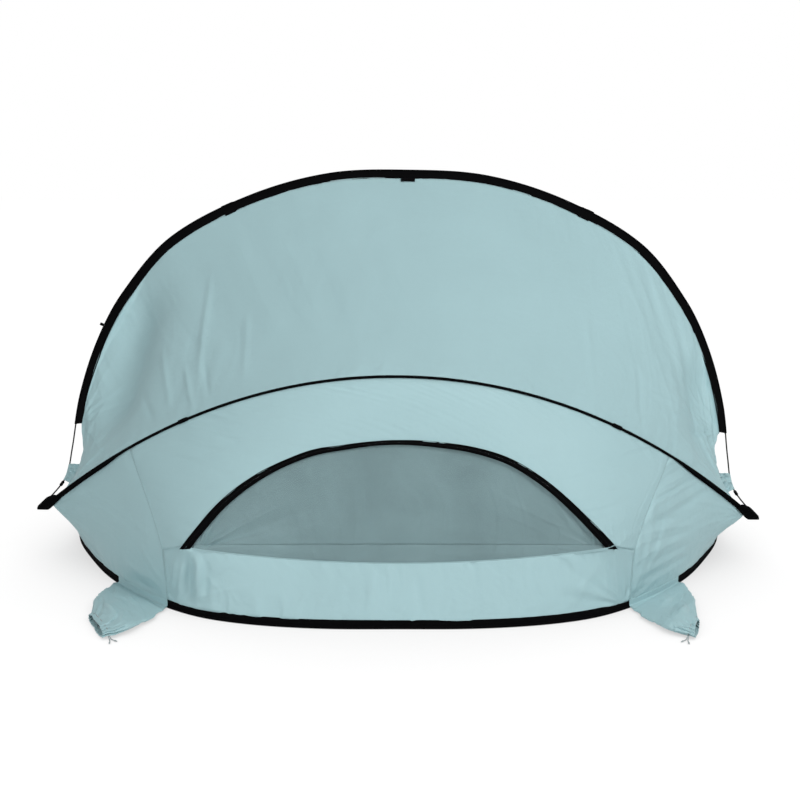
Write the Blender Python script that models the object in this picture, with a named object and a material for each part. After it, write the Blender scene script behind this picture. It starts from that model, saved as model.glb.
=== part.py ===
"""Pop-up sun shelter: a ground hoop, a low rear hoop and a tall front hoop, with fabric between them.

Metres, +Z up. The window side faces -Y and the open mouth faces +Y. The origin is on the ground
under the middle of the line through the two tips, which both upper hoops fold about.
"""

import math

import bmesh
import bpy
import numpy as np
from mathutils import Matrix, Vector

# Rods, tapes and cloth
ROD_RADIUS = 0.0025
BORE_RADIUS = 0.0033
TAPE_RADIUS = 0.0046
TAPE_HALF_FIN = 0.0012
CLOTH = 0.0006
FLOOR_CLOTH = 0.001
FLOOR_EDGE = 0.0032
ZIP_THICKNESS = 0.0009
FIT = 0.0003
SEAM_GAP = 0.0005
LOOSE_GAP = 0.0012

# Line through the tips, and the lean of the two hoops from upright
TIP_HEIGHT = 0.17
FRONT_LEAN = math.radians(24.44)
REAR_LEAN = math.radians(-34.59)
# Both hoops stand a little askew, with the -X tip higher than the +X tip
HOOP_ROLL = math.radians(0.85)
# The front hoop also drifts towards +X, by this share of its height
FRONT_DRIFT = 0.0148

# Front hoop in its own plane: distance from the middle, then height above the tips' line
FRONT_OUTLINE = (
    (0.0, 1.219),
    (0.28, 1.203),
    (0.56, 1.117),
    (0.83, 0.961),
    (0.988, 0.758),
    (1.066, 0.587),
    (1.115, 0.393),
    (1.134, 0.2),
)
# Its lowest stretch: distance in from its end, then height above the tips' line
FRONT_END_OUTLINE = ((0.089, 0.11), (0.051, 0.05), (0.0, 0.0))
FRONT_END_OUT = 0.017
FRONT_TAPE_END = 0.29
FRONT_TAPE_WIDTH = 0.044
FRONT_JOIN_X = 0.635
CUFF_TOP = 0.149
CUFF_BOTTOM = 0.094
KNOB_TOP = 0.09
KNOB_BOTTOM = 0.074
KNOB_RADIUS = 0.0055
CUFF_RADIUS = 0.006
CUFF_HALF_FIN = 0.0026
# Short enough to pass the rear hoop as the front hoop folds down
CUFF_WIDTHS = (0.046, 0.036, 0.026, 0.015, 0.0095)
# Which way the +X cuff's cloth runs from the wire to the roof
CUFF_WAY = (-0.058, -0.06, 0.008)
# How far the tape's fin turns in at its end, as a share of the rear hoop's length
TAPE_TURN = 0.25

# Rear hoop in its own plane
REAR_RISE = 0.7
REAR_HALF_WIDTH = 1.219
REAR_POWER = 2.013
REAR_TAPE_WIDTH = 0.0095
REAR_TAPE_END_WIDTH = 0.018
REAR_JOIN_X = 0.7
SIDE_SEAM_TOP_X = 0.89
# Places on it, measured in from its end at the tip
REAR_TAPE_TO_TIP = 0.014
ROOF_TO_TIP = 0.06
# Its tape widens between these two
REAR_WIDENING = 0.42
REAR_WIDENED = 0.27

# Webbing pocket at each tip, measured from the rear hoop's end
TIP_POCKET_TOP = ((0.063, 0.06), (0.045, 0.064))
TIP_POCKET_OUT = 0.022
TIP_POCKET_IN = 0.019
TIP_POCKET_SHOULDER = 0.004
TIP_LIP_RISE = 0.001

# Ground hoop from the middle of the rear round to the middle of the front
RING_OUTLINE = (
    (0.0, -0.637),
    (0.243, -0.633),
    (0.467, -0.598),
    (0.64, -0.531),
    (0.8, -0.4),
    (0.957, -0.2),
    (1.06, 0.0),
    (1.13, 0.18),
    (1.155, 0.34),
    (1.125, 0.49),
    (1.03, 0.61),
    (0.87, 0.69),
    (0.62, 0.732),
    (0.32, 0.743),
    (0.0, 0.745),
)
POCKET_REAR = (0.735, -0.463)
POCKET_FRONT = (0.925, -0.243)
BELOW_TIP = (1.05, -0.02)
FRONT_CORNER = (1.03, 0.61)
TIP_SHARE = 0.08
RING_TAPE_WIDTH = 0.024
# How far its tape stands up beside the gussets, from leaning with them at 0 to upright at 1
SIDE_TAPE_UPRIGHT = 0.55
FERRULE_LENGTH = 0.06
FERRULE_RADIUS = 0.0042

# Side seam where it crosses the top of the skirt
SKIRT_CORNER = (0.75, -0.445, 0.19)

# Window: a flat piece of the rear wall, bounded by an arc of a circle over a sagging seam
WINDOW_BASE_Y = -0.52
WINDOW_BASE_Z = 0.222
WINDOW_LEAN = math.radians(9.8)
WINDOW_RADIUS = 0.8225
WINDOW_HALF_ANGLE = math.radians(54.2)
WINDOW_CORNER_RISE = 0.0011
WINDOW_CENTRE = WINDOW_CORNER_RISE - WINDOW_RADIUS * math.cos(WINDOW_HALF_ANGLE)
WINDOW_SAG = 0.048
ZIP_TOP_HALF = 0.0075
ZIP_SIDE_HALF = 0.0135
FLAP_DEPTH = 0.009
FLAP_EDGE = 0.004
FLAP_HINGE_RISE = 0.012
LOOP_X = 0.37
LOOP_WIDTH = 0.016
LOOP_DROP = 0.09

# Zip slider and its pull, on the inner face of the zip tape
SLIDER_LENGTH = 0.014
SLIDER_WIDTH = 0.009
SLIDER_HEIGHT = 0.004
PULL_LENGTH = 0.022
PULL_WIDTH = 0.006
PULL_THICKNESS = 0.0015
SLIDER_BEVEL = 0.0006
SLIDER_ANGLE = math.radians(51.5)

# Sand pockets, on the ground behind the hoop
POCKET_OUTER_SIDE = ((0.945, -0.25), (0.967, -0.46), (0.958, -0.6), (0.925, -0.695))
POCKET_INNER_SIDE = ((0.748, -0.492), (0.785, -0.6), (0.822, -0.67), (0.858, -0.728))
POCKET_HEIGHTS = (0.008, 0.03, 0.042, 0.038)
POCKET_LIFTS = (0.0, 0.0, 0.0, 0.0, 0.0, 0.002, 0.005, 0.006)
POCKET_WALL = 0.0012
POCKET_FULLNESS = 0.8
THROAT_HEIGHT = 0.004
CORD_RADIUS = 0.0016
CORD_TAIL = 0.035
CORD_SHORT_TAIL = 0.028

# Small tabs on the front hoop
TOP_TAB = (0.05, 0.018)
NUB = (0.013, 0.01)
NUB_HEIGHT = 0.64
JOIN_TAB = (0.028, 0.008)
TAB_THICKNESS = 0.0012

# How far the taut cloth curves between its edges, as a share of its span, and which way
ROOF_HOLLOW = 0.02
ROOF_HOLLOW_TOWARDS = (0.0, 0.1, 0.25)
# How far the middle of the roof's +X free edge is drawn in, and where along the roof that starts
ROOF_EDGE_PULL = (-0.045, -0.03, -0.02)
ROOF_EDGE_START = 0.75
WALL_BULGE = 0.03
WALL_BULGE_WAY = (0.0, -1.0, 0.3)

# Steps along the hoops and across the cloth
CENTRE_STEPS = 13
SEAM_STEPS = 3
SIDE_STEPS = 4
TIP_STEPS = 3
WIRE_STEPS = 14
POCKET_STEPS = 4
POCKET_BAG_STEPS = 7
RING_SIDE_STEPS = 20
STUB_STEPS = 2
ROW_STEPS = 4
WINDOW_ROW_STEPS = 2
# The window has as many steps as the wall above it: the rear hoop's middle and both side seams
WINDOW_STEPS = CENTRE_STEPS + SEAM_STEPS

BLACK = ("black webbing", (0.012, 0.012, 0.013), 0.75, 0.0)
ROD_BLACK = ("black rod", (0.010, 0.010, 0.011), 0.35, 0.0)
AQUA = ("aqua cloth", (0.36, 0.54, 0.57), 0.6, 0.0)
AQUA_DARK = ("aqua floor cloth", (0.30, 0.47, 0.50), 0.65, 0.0)
MESH_GREY = ("window net", (0.10, 0.15, 0.155), 0.8, 0.0)
STEEL = ("plain steel", (0.55, 0.55, 0.56), 0.35, 1.0)
ZIP_BLACK = ("black zip", (0.010, 0.010, 0.012), 0.4, 0.0)
CORD_GREY = ("grey cord", (0.45, 0.47, 0.48), 0.8, 0.0)

# Edges sharper than this, in degrees, stay sharp in the shading
SLEEVE_SHARP_ANGLE = 40.0
TUBE_SHARP_ANGLE = 50.0
# A direction that no tube runs along
TUBE_HELPER = (0.13, 0.2, 0.97)


def clear_scene():
    for old in list(bpy.data.objects):
        bpy.data.objects.remove(old, do_unlink=True)


def material_of(look):
    name, colour, roughness, metallic = look
    material = bpy.data.materials.get(name)
    if material is None:
        material = bpy.data.materials.new(name)
        material.use_nodes = True
        shader = material.node_tree.nodes["Principled BSDF"]
        shader.inputs["Base Color"].default_value = (*colour, 1.0)
        shader.inputs["Roughness"].default_value = roughness
        shader.inputs["Metallic"].default_value = metallic
    return material


def pivot_at(name, place):
    empty = bpy.data.objects.new(name, None)
    empty.location = place
    empty.empty_display_size = 0.05
    bpy.context.scene.collection.objects.link(empty)
    bpy.context.view_layer.update()
    return empty


def add_object(name, data, look, pivot):
    obj = bpy.data.objects.new(name, data)
    data.materials.append(material_of(look))
    bpy.context.scene.collection.objects.link(obj)
    if pivot is not None:
        obj.parent = pivot
        obj.matrix_parent_inverse = pivot.matrix_world.inverted()
    return obj


def mesh_object(name, bm, look, pivot, smooth_angle=None):
    bmesh.ops.recalc_face_normals(bm, faces=bm.faces)
    mesh = bpy.data.meshes.new(name)
    bm.to_mesh(mesh)
    bm.free()
    obj = add_object(name, mesh, look, pivot)
    if smooth_angle is not None:
        mesh.shade_smooth()
        mesh.set_sharp_from_angle(angle=math.radians(smooth_angle))
    return obj


def unit(vectors):
    vectors = np.asarray(vectors, float)
    return vectors / np.linalg.norm(vectors, axis=-1, keepdims=True)


def square_to(vectors, tangents):
    along = (vectors * tangents).sum(axis=-1, keepdims=True)
    return unit(vectors - along * tangents)


def tangents_of(path):
    return unit(np.gradient(path, axis=0))


def smooth_curve(points, mirror_x, steps=24):
    """A dense smooth curve through the points, flat across x = 0 at the ends that mirror_x names."""
    points = np.asarray(points, float)
    flip = np.ones(points.shape[1])
    flip[0] = -1.0
    before = points[1] * flip if mirror_x[0] else 2 * points[0] - points[1]
    after = points[-2] * flip if mirror_x[1] else 2 * points[-1] - points[-2]
    knots = np.vstack([before, points, after])
    curve = [points[:1]]
    share = np.linspace(0.0, 1.0, steps + 1)[1:, None]
    for a, b, c, d in zip(knots, knots[1:], knots[2:], knots[3:]):
        span = np.linalg.norm(c - b)
        start = (c - a) * span / (span + np.linalg.norm(b - a))
        end = (d - b) * span / (span + np.linalg.norm(d - c))
        h = share * share * (3.0 - 2.0 * share)
        piece = b + (c - b) * h
        piece = piece + start * (share * (1.0 - share) ** 2)
        piece = piece - end * (share * share * (1.0 - share))
        curve.append(piece)
    return np.vstack(curve)


def lengths_along(curve):
    steps = np.linalg.norm(np.diff(curve, axis=0), axis=1)
    return np.concatenate([[0.0], np.cumsum(steps)])


def at_lengths(curve, lengths):
    along = lengths_along(curve)
    return np.stack([np.interp(lengths, along, part) for part in curve.T], axis=1)


def even_points(curve, steps):
    return at_lengths(curve, np.linspace(0.0, lengths_along(curve)[-1], steps + 1))


def stations(curve, stops, steps):
    """Points along the curve: an even number of steps between each stop and the next."""
    lengths = [np.linspace(a, b, n + 1)[1:] for a, b, n in zip(stops, stops[1:], steps)]
    return at_lengths(curve, np.concatenate([[stops[0]], *lengths]))


def length_where(curve, column, value):
    """Length along the curve at which one coordinate last crosses the value."""
    part = curve[:, column]
    crossing = np.nonzero((part[:-1] - value) * (part[1:] - value) <= 0.0)[0][-1]
    share = (value - part[crossing]) / (part[crossing + 1] - part[crossing])
    along = lengths_along(curve)
    return along[crossing] + share * (along[crossing + 1] - along[crossing])


def length_near(curve, point):
    nearest = np.argmin(np.linalg.norm(curve - np.asarray(point), axis=1))
    return lengths_along(curve)[nearest]


def leaning(flat, lean, base_y=0.0, base_z=TIP_HEIGHT, depth=0.0):
    """World points from (x, height) pairs in a plane that leans forward by the angle."""
    flat = np.asarray(flat, float)
    y = base_y + flat[..., 1] * math.sin(lean) + depth * math.cos(lean)
    z = base_z + flat[..., 1] * math.cos(lean) - depth * math.sin(lean)
    return np.stack([flat[..., 0], y, z], axis=-1)


def on_window(flat, depth=0.0):
    return leaning(flat, WINDOW_LEAN, WINDOW_BASE_Y, WINDOW_BASE_Z, depth)


def mirrored(points, side):
    return np.asarray(points, float) * np.array([side, 1.0, 1.0])


def rolled(points):
    """Points of the upper hoops turned askew about the middle of the tips' line."""
    turn = np.array(Matrix.Rotation(HOOP_ROLL, 3, "Y"))
    base = np.array([0.0, 0.0, TIP_HEIGHT])
    return (np.asarray(points, float) - base) @ turn.T + base


def both_sides(half):
    """The whole path from the -X end to the +X end of a half that starts at x = 0."""
    return np.vstack([mirrored(half, -1.0)[:0:-1], half])


def pulled_in(path, tangents, gap):
    """The path with both end points moved inwards along it."""
    path = np.array(path, float)
    path[0] = path[0] + tangents[0] * gap
    path[-1] = path[-1] - tangents[-1] * gap
    return path


def rod(name, path, radius, look, pivot):
    curve = bpy.data.curves.new(name, "CURVE")
    curve.dimensions = "3D"
    curve.bevel_depth = radius
    curve.bevel_resolution = 2
    curve.use_fill_caps = True
    line = curve.splines.new("POLY")
    line.points.add(len(path) - 1)
    for point, place in zip(line.points, path):
        point.co = (*place, 1.0)
    return add_object(name, curve, look, pivot)


def ring_offsets(angles, radius):
    angles = np.radians(angles)
    return np.stack([np.cos(angles), np.sin(angles)], axis=1) * radius


def add_split_quad(bm, a, b, c, d):
    """Two triangles over four corners that needn't lie in one plane, split along the shorter diagonal."""
    if (a.co - c.co).length <= (b.co - d.co).length:
        bm.faces.new((a, b, c))
        bm.faces.new((a, c, d))
    else:
        bm.faces.new((a, b, d))
        bm.faces.new((b, c, d))


def sleeve(name, path, tangents, tails, widths, look, pivot, outer=TAPE_RADIUS, fin=TAPE_HALF_FIN):
    """Tape folded round a rod, open at both ends, with its two layers sewn into a fin."""
    across = square_to(tails, tangents)
    normals = np.cross(tangents, across)
    widths = np.broadcast_to(np.asarray(widths, float), len(path))
    root = math.degrees(math.asin(fin / outer))
    wraps = np.array([75.0, 125.0, 180.0, 235.0, 285.0])
    bore_flat = ring_offsets(np.array([6.0, 26.0, *wraps, 334.0, 354.0]), BORE_RADIUS)
    body_flat = ring_offsets(np.array([root, *wraps, 360.0 - root]), outer)
    bm = bmesh.new()
    rings = []
    for place, side, normal, width in zip(path, across, normals, widths):
        outer_flat = np.vstack([[width, fin], body_flat, [width, -fin]])
        both = []
        for flat in (outer_flat, bore_flat):
            points = place + flat[:, :1] * side + flat[:, 1:] * normal
            both.append([bm.verts.new(point) for point in points])
        rings.append(both)
    count = len(rings[0][0])
    for first, second in zip(rings, rings[1:]):
        for a, b in zip(first, second):
            for i in range(count):
                j = (i + 1) % count
                add_split_quad(bm, a[i], a[j], b[j], b[i])
    for outer_ring, inner_ring in (rings[0], rings[-1]):
        for i in range(count):
            j = (i + 1) % count
            bm.faces.new((outer_ring[i], outer_ring[j], inner_ring[j], inner_ring[i]))
    return mesh_object(name, bm, look, pivot, SLEEVE_SHARP_ANGLE)


def grid_mesh(grid):
    bm = bmesh.new()
    verts = [[bm.verts.new(point) for point in row] for row in grid]
    for low, high in zip(verts, verts[1:]):
        for a, b, c, d in zip(low, low[1:], high[1:], high):
            bm.faces.new((a, b, c, d))
    return bm


def thicken(obj, thickness, offset=0.0):
    solidify = obj.modifiers.new("thickness", "SOLIDIFY")
    solidify.thickness = thickness
    solidify.offset = offset
    solidify.use_quality_normals = True
    solidify.use_even_offset = False
    return obj


def cloth(name, grid, look, pivot, thickness=CLOTH):
    """A sheet of cloth from rows of points, half of its thickness to each side."""
    obj = mesh_object(name, grid_mesh(grid), look, pivot)
    obj.data.shade_smooth()
    return thicken(obj, thickness)


def inset(grid, bottom=0.0, top=0.0, left=0.0, right=0.0):
    """The grid with its edges moved inwards by these distances."""
    grid = np.array(grid, float)
    grid[0] += unit(grid[1] - grid[0]) * bottom
    grid[-1] += unit(grid[-2] - grid[-1]) * top
    grid[:, 0] += unit(grid[:, 1] - grid[:, 0]) * left
    grid[:, -1] += unit(grid[:, -2] - grid[:, -1]) * right
    return grid


def ruled(low, high, rows):
    share = np.linspace(0.0, 1.0, rows + 1)[:, None, None]
    return low[None] * (1.0 - share) + high[None] * share


def patch(low, high, left, right):
    """A surface over four edge curves: low and high run left to right, left and right run upwards."""
    u = np.linspace(0.0, 1.0, len(low))[None, :, None]
    v = np.linspace(0.0, 1.0, len(left))[:, None, None]
    across = low[None] * (1.0 - v) + high[None] * v
    upward = left[:, None] * (1.0 - u) + right[:, None] * u
    corners = (
        low[0] * (1.0 - u) * (1.0 - v)
        + low[-1] * u * (1.0 - v)
        + high[0] * (1.0 - u) * v
        + high[-1] * u * v
    )
    return across + upward - corners


def prism(name, outline, normal, thickness, look, pivot):
    """A flat plate: the outline's points pushed along the normal by the thickness."""
    bm = bmesh.new()
    face = bm.faces.new([bm.verts.new(point) for point in outline])
    grown = bmesh.ops.extrude_face_region(bm, geom=[face])
    moved = [item for item in grown["geom"] if isinstance(item, bmesh.types.BMVert)]
    bmesh.ops.translate(bm, verts=moved, vec=Vector(unit(normal) * thickness))
    return mesh_object(name, bm, look, pivot)


def box(name, centre, axes, sizes, look, pivot):
    """A block with its middle at the centre and its sides along three unit axes."""
    bm = bmesh.new()
    columns = [Vector(axis) * size for axis, size in zip(axes, sizes)]
    turn = Matrix((columns[0], columns[1], columns[2])).transposed().to_4x4()
    turn.translation = Vector(centre)
    bmesh.ops.create_cube(bm, size=1.0, matrix=turn)
    return mesh_object(name, bm, look, pivot)


def join(obj, others):
    for other in others:
        union = obj.modifiers.new("join", "BOOLEAN")
        union.operation = "UNION"
        union.solver = "EXACT"
        union.object = other
        other.hide_render = True
        other.display_type = "WIRE"
    return obj


def rear_height(x):
    return REAR_RISE * (1.0 - (np.abs(x) / REAR_HALF_WIDTH) ** REAR_POWER)


def rear_width(x):
    start = REAR_HALF_WIDTH - REAR_WIDENING
    share = np.clip((np.abs(x) - start) / (REAR_WIDENING - REAR_WIDENED), 0.0, 1.0)
    eased = share * share * (3.0 - 2.0 * share)
    return REAR_TAPE_WIDTH + (REAR_TAPE_END_WIDTH - REAR_TAPE_WIDTH) * eased


def zip_half(angle):
    share = np.abs(np.sin(angle) / math.sin(WINDOW_HALF_ANGLE))
    return ZIP_TOP_HALF + (ZIP_SIDE_HALF - ZIP_TOP_HALF) * share


def window_ring(angles, offset):
    """Points in the window's plane on its arc, moved outwards by the offset."""
    radius = WINDOW_RADIUS + offset
    return np.stack([radius * np.sin(angles), WINDOW_CENTRE + radius * np.cos(angles)], axis=-1)


def seam_height(x, half_width):
    return -WINDOW_SAG * (1.0 - (x / half_width) ** 2)


def hoop_paths():
    """Half of each hoop from x = 0, as stations that its rod, tape and cloth all share."""
    end_x = REAR_HALF_WIDTH + FRONT_END_OUT
    low_outline = [(end_x - back, height) for back, height in FRONT_END_OUTLINE]
    front_curve = smooth_curve([*FRONT_OUTLINE, *low_outline], (True, False))
    front_stops = [0.0]
    for height in (FRONT_TAPE_END, 0.0):
        front_stops.append(length_where(front_curve, 1, height))
    front = stations(front_curve, front_stops, (CENTRE_STEPS + SIDE_STEPS, WIRE_STEPS))
    x = np.linspace(0.0, REAR_HALF_WIDTH, 400)
    rear_curve = np.stack([x, rear_height(x)], axis=1)
    rear_stops = [0.0]
    for place in (SIDE_SEAM_TOP_X, REAR_HALF_WIDTH - ROOF_TO_TIP, REAR_HALF_WIDTH - 1e-6):
        rear_stops.append(length_where(rear_curve, 0, place))
    rear = stations(rear_curve, rear_stops, (CENTRE_STEPS, SIDE_STEPS, TIP_STEPS))
    return leaning(front, FRONT_LEAN), leaning(rear, REAR_LEAN)


def ring_path():
    """Half of the ground hoop, and the numbers of its stations at the two pocket corners."""
    curve = smooth_curve(RING_OUTLINE, (True, True))
    stops = [0.0]
    for corner in (POCKET_REAR, POCKET_FRONT):
        stops.append(length_near(curve, corner))
    whole = lengths_along(curve)[-1]
    stops.append(whole - FERRULE_LENGTH / 2 - FIT)
    stops.append(whole - FIT)
    rear_steps = WINDOW_STEPS + STUB_STEPS
    steps = (rear_steps, POCKET_STEPS, RING_SIDE_STEPS, 1)
    flat = stations(curve, stops, steps)
    height = np.full((len(flat), 1), TAPE_RADIUS)
    return np.hstack([flat, height]), rear_steps, rear_steps + POCKET_STEPS, len(flat) - 2


def window_corner():
    """Half the width of the sagging seam under the window."""
    return window_ring(WINDOW_HALF_ANGLE, -ZIP_SIDE_HALF)[0]


def skirt_top():
    """Half of the skirt's upper edge: the window's seam, the end of the zip tape, then the side seam."""
    angles = np.linspace(0.0, WINDOW_HALF_ANGLE, WINDOW_STEPS + 1)
    x = window_ring(angles, -zip_half(angles))[:, 0]
    seam = np.stack([x, seam_height(x, window_corner())], axis=1)
    end_angle = WINDOW_HALF_ANGLE + SEAM_GAP / WINDOW_RADIUS
    seam[-1] = window_ring(end_angle, -ZIP_SIDE_HALF)
    tape_end = window_ring(end_angle, ZIP_SIDE_HALF)
    return np.vstack([on_window(np.vstack([seam, [tape_end]])), [SKIRT_CORNER]])


def sleeve_piece(name, path, tails, widths, first, last, look, pivot):
    part = slice(first, last + 1)
    tangents = tangents_of(path)[part]
    piece = pulled_in(path[part], tangents, FIT)
    return sleeve(name, piece, tangents, tails[part], widths[part], look, pivot)


def side_name(stem, side):
    return f"{stem}_{'left' if side < 0 else 'right'}"


def build_ground(ring, pocket_rear, pocket_front, tape_end, fins):
    whole = both_sides(ring)
    middle = len(ring) - 1
    rod("ground_hoop_rod", whole, ROD_RADIUS, ROD_BLACK, None)
    ferrule = np.array([[x, ring[-1, 1], TAPE_RADIUS] for x in (-0.5, 0.5)]) * [FERRULE_LENGTH, 1, 1]
    ferrule[:, 0] *= 1.0 - 2 * FIT / FERRULE_LENGTH
    tube("ground_hoop_ferrule", ferrule, FERRULE_RADIUS, ROD_RADIUS + FIT, STEEL, None)
    widths = np.full(len(whole), RING_TAPE_WIDTH)
    tails = both_sides(fins)
    first, last = middle - pocket_rear, middle + pocket_rear
    sleeve_piece("ground_binding_rear", whole, tails, widths, first, last, BLACK, None)
    for side in (-1, 1):
        path = mirrored(ring, side)
        tails = mirrored(fins, side)
        name = side_name("pocket_sleeve", side)
        sleeve_piece(name, path, tails, widths, pocket_rear, pocket_front, AQUA, None)
        name = side_name("ground_binding", side)
        sleeve_piece(name, path, tails, widths, pocket_front, tape_end, BLACK, None)
    inner = whole - square_to(outward_of(whole), tangents_of(whole)) * FLOOR_EDGE
    inner[:, 2] = FLOOR_CLOTH / 2
    bm = bmesh.new()
    bm.faces.new([bm.verts.new(point) for point in inner])
    thicken(mesh_object("floor_sheet", bm, AQUA_DARK, None), FLOOR_CLOTH)


def outward_of(path):
    tangents = tangents_of(path)
    outward = np.cross(tangents, [0.0, 0.0, 1.0])
    facing = np.sign((outward * (path - path.mean(axis=0))).sum(axis=1, keepdims=True))
    return outward * facing


def tube(name, path, outer, bore, look, pivot):
    """A plain round tube along the path, open at both ends."""
    angles = np.linspace(0.0, 360.0, 10, endpoint=False)
    tangents = tangents_of(path)
    helper = np.array(TUBE_HELPER)
    across = square_to(np.broadcast_to(helper, path.shape), tangents)
    normals = np.cross(tangents, across)
    bm = bmesh.new()
    rings = []
    for place, side, normal in zip(path, across, normals):
        both = []
        for radius in (outer, bore / math.cos(math.pi / len(angles))):
            flat = ring_offsets(angles, radius)
            points = place + flat[:, :1] * side + flat[:, 1:] * normal
            both.append([bm.verts.new(point) for point in points])
        rings.append(both)
    count = len(angles)
    for first, second in zip(rings, rings[1:]):
        for layer in (0, 1):
            for i in range(count):
                j = (i + 1) % count
                bm.faces.new((first[layer][i], first[layer][j], second[layer][j], second[layer][i]))
    for outer_ring, inner_ring in (rings[0], rings[-1]):
        for i in range(count):
            j = (i + 1) % count
            bm.faces.new((outer_ring[i], outer_ring[j], inner_ring[j], inner_ring[i]))
    return mesh_object(name, bm, look, pivot, TUBE_SHARP_ANGLE)


def build_rear_hoop(rear, pivot):
    whole = both_sides(rear)
    rod("rear_arch_rod", whole, ROD_RADIUS, ROD_BLACK, pivot)
    tails = rear_tails(whole)
    widths = rear_width(whole[:, 0])
    middle = len(rear) - 1
    join_at = int(np.argmin(np.abs(rear[:, 0] - REAR_JOIN_X)))
    end_x = REAR_HALF_WIDTH - REAR_TAPE_TO_TIP
    tape_end = int(np.argmin(np.abs(rear[:, 0] - end_x)))
    spans = (
        ("rear_binding_left", middle - tape_end, middle - join_at),
        ("rear_binding_centre", middle - join_at, middle + join_at),
        ("rear_binding_right", middle + join_at, middle + tape_end),
    )
    for name, first, last in spans:
        sleeve_piece(name, whole, tails, widths, first, last, BLACK, pivot)


def rear_tails(path):
    """In the rear hoop's plane, square to the rod and pointing in under the hoop."""
    normal = np.array([0.0, math.cos(REAR_LEAN), -math.sin(REAR_LEAN)])
    return np.cross(normal, tangents_of(path))


def front_tails(front, rear, count):
    """From the front hoop towards the rear hoop, station by station, turning in at the tape's end."""
    tails = np.zeros_like(front)
    aimed = lengths_along(rear)[:count] * (1.0 - TAPE_TURN * np.linspace(0.0, 1.0, count) ** 4)
    tails[:count] = at_lengths(rear, aimed) - front[:count]
    tails[count:] = tails[count - 1]
    return square_to(tails, tangents_of(front))


def build_front_hoop(front, tails, pivot):
    whole = both_sides(front)
    rod("front_arch_rod", whole, ROD_RADIUS, ROD_BLACK, pivot)
    all_tails = both_sides(tails)
    widths = np.full(len(whole), FRONT_TAPE_WIDTH)
    middle = len(front) - 1
    join_at = int(np.argmin(np.abs(front[:, 0] - FRONT_JOIN_X)))
    tape_end = CENTRE_STEPS + SIDE_STEPS
    spans = (
        ("front_binding_left", middle - tape_end, middle - join_at),
        ("front_binding_centre", middle - join_at, middle + join_at),
        ("front_binding_right", middle + join_at, middle + tape_end),
    )
    for name, first, last in spans:
        sleeve_piece(name, whole, all_tails, widths, first, last, BLACK, pivot)
    build_cuffs(front, tails, pivot)
    build_tabs(front, tails, join_at, pivot)


def build_cuffs(front, tails, pivot):
    """Cloth gathered on the bare wire, and the cord lock below it."""
    along = lengths_along(front)
    heights = (front[:, 2] - TIP_HEIGHT) / math.cos(FRONT_LEAN)

    def length_at(height):
        return np.interp(-height, -heights, along)

    cuff_lengths = np.linspace(length_at(CUFF_TOP), length_at(CUFF_BOTTOM), len(CUFF_WIDTHS))
    cuff_path = at_lengths(front, cuff_lengths)
    cuff_tails = square_to(np.array([CUFF_WAY] * len(CUFF_WIDTHS)), tangents_of(cuff_path))
    knob_path = at_lengths(front, np.linspace(length_at(KNOB_TOP), length_at(KNOB_BOTTOM), 3))
    for side in (-1, 1):
        sleeve(
            side_name("cuff", side),
            mirrored(cuff_path, side),
            mirrored(tangents_of(cuff_path), side),
            mirrored(cuff_tails, side),
            CUFF_WIDTHS,
            AQUA,
            pivot,
            outer=CUFF_RADIUS,
            fin=CUFF_HALF_FIN,
        )
        name = side_name("cord_lock", side)
        tube(name, mirrored(knob_path, side), KNOB_RADIUS, BORE_RADIUS, BLACK, pivot)


def build_tabs(front, tails, join_at, pivot):
    along = np.array([1.0, 0.0, 0.0])
    tail = tails[0]
    normal = np.cross(along, tail)
    normal = normal * np.sign(normal[2])
    middle = front[0] + tail * (FRONT_TAPE_WIDTH + TOP_TAB[1] / 2 + FIT)
    lift = CLOTH / 2 + FIT + TAB_THICKNESS / 2
    sizes = (TOP_TAB[0], TOP_TAB[1], TAB_THICKNESS)
    axes = (along, tail, np.cross(along, tail))
    box("hanging_tab", middle + normal * lift, axes, sizes, BLACK, pivot)
    plane = np.array([0.0, math.cos(FRONT_LEAN), -math.sin(FRONT_LEAN)])
    heights = (front[:, 2] - TIP_HEIGHT) / math.cos(FRONT_LEAN)
    nub_at = np.interp(-NUB_HEIGHT, -heights, lengths_along(front))
    segment = mirrored(at_lengths(front, [nub_at - NUB[1] / 2, nub_at + NUB[1] / 2]), -1)
    path = unit(segment[1] - segment[0])
    out = np.cross(path, plane)
    out = out * -np.sign(out[0])
    middle = segment.mean(axis=0) + out * (TAPE_RADIUS + FIT + NUB[0] / 2)
    axes = (out, path, np.cross(out, path))
    box("side_tab_left", middle, axes, (*NUB, TAB_THICKNESS), BLACK, pivot)
    place = front[join_at]
    path = tangents_of(front)[join_at]
    out = np.cross(path, plane)
    out = out * np.sign(out[2])
    middle = place + out * (TAPE_RADIUS + FIT + TAB_THICKNESS / 2) + path * JOIN_TAB[0] / 2
    box("join_tab_right", middle, (path, plane, out), (*JOIN_TAB, TAB_THICKNESS), BLACK, pivot)


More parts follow.
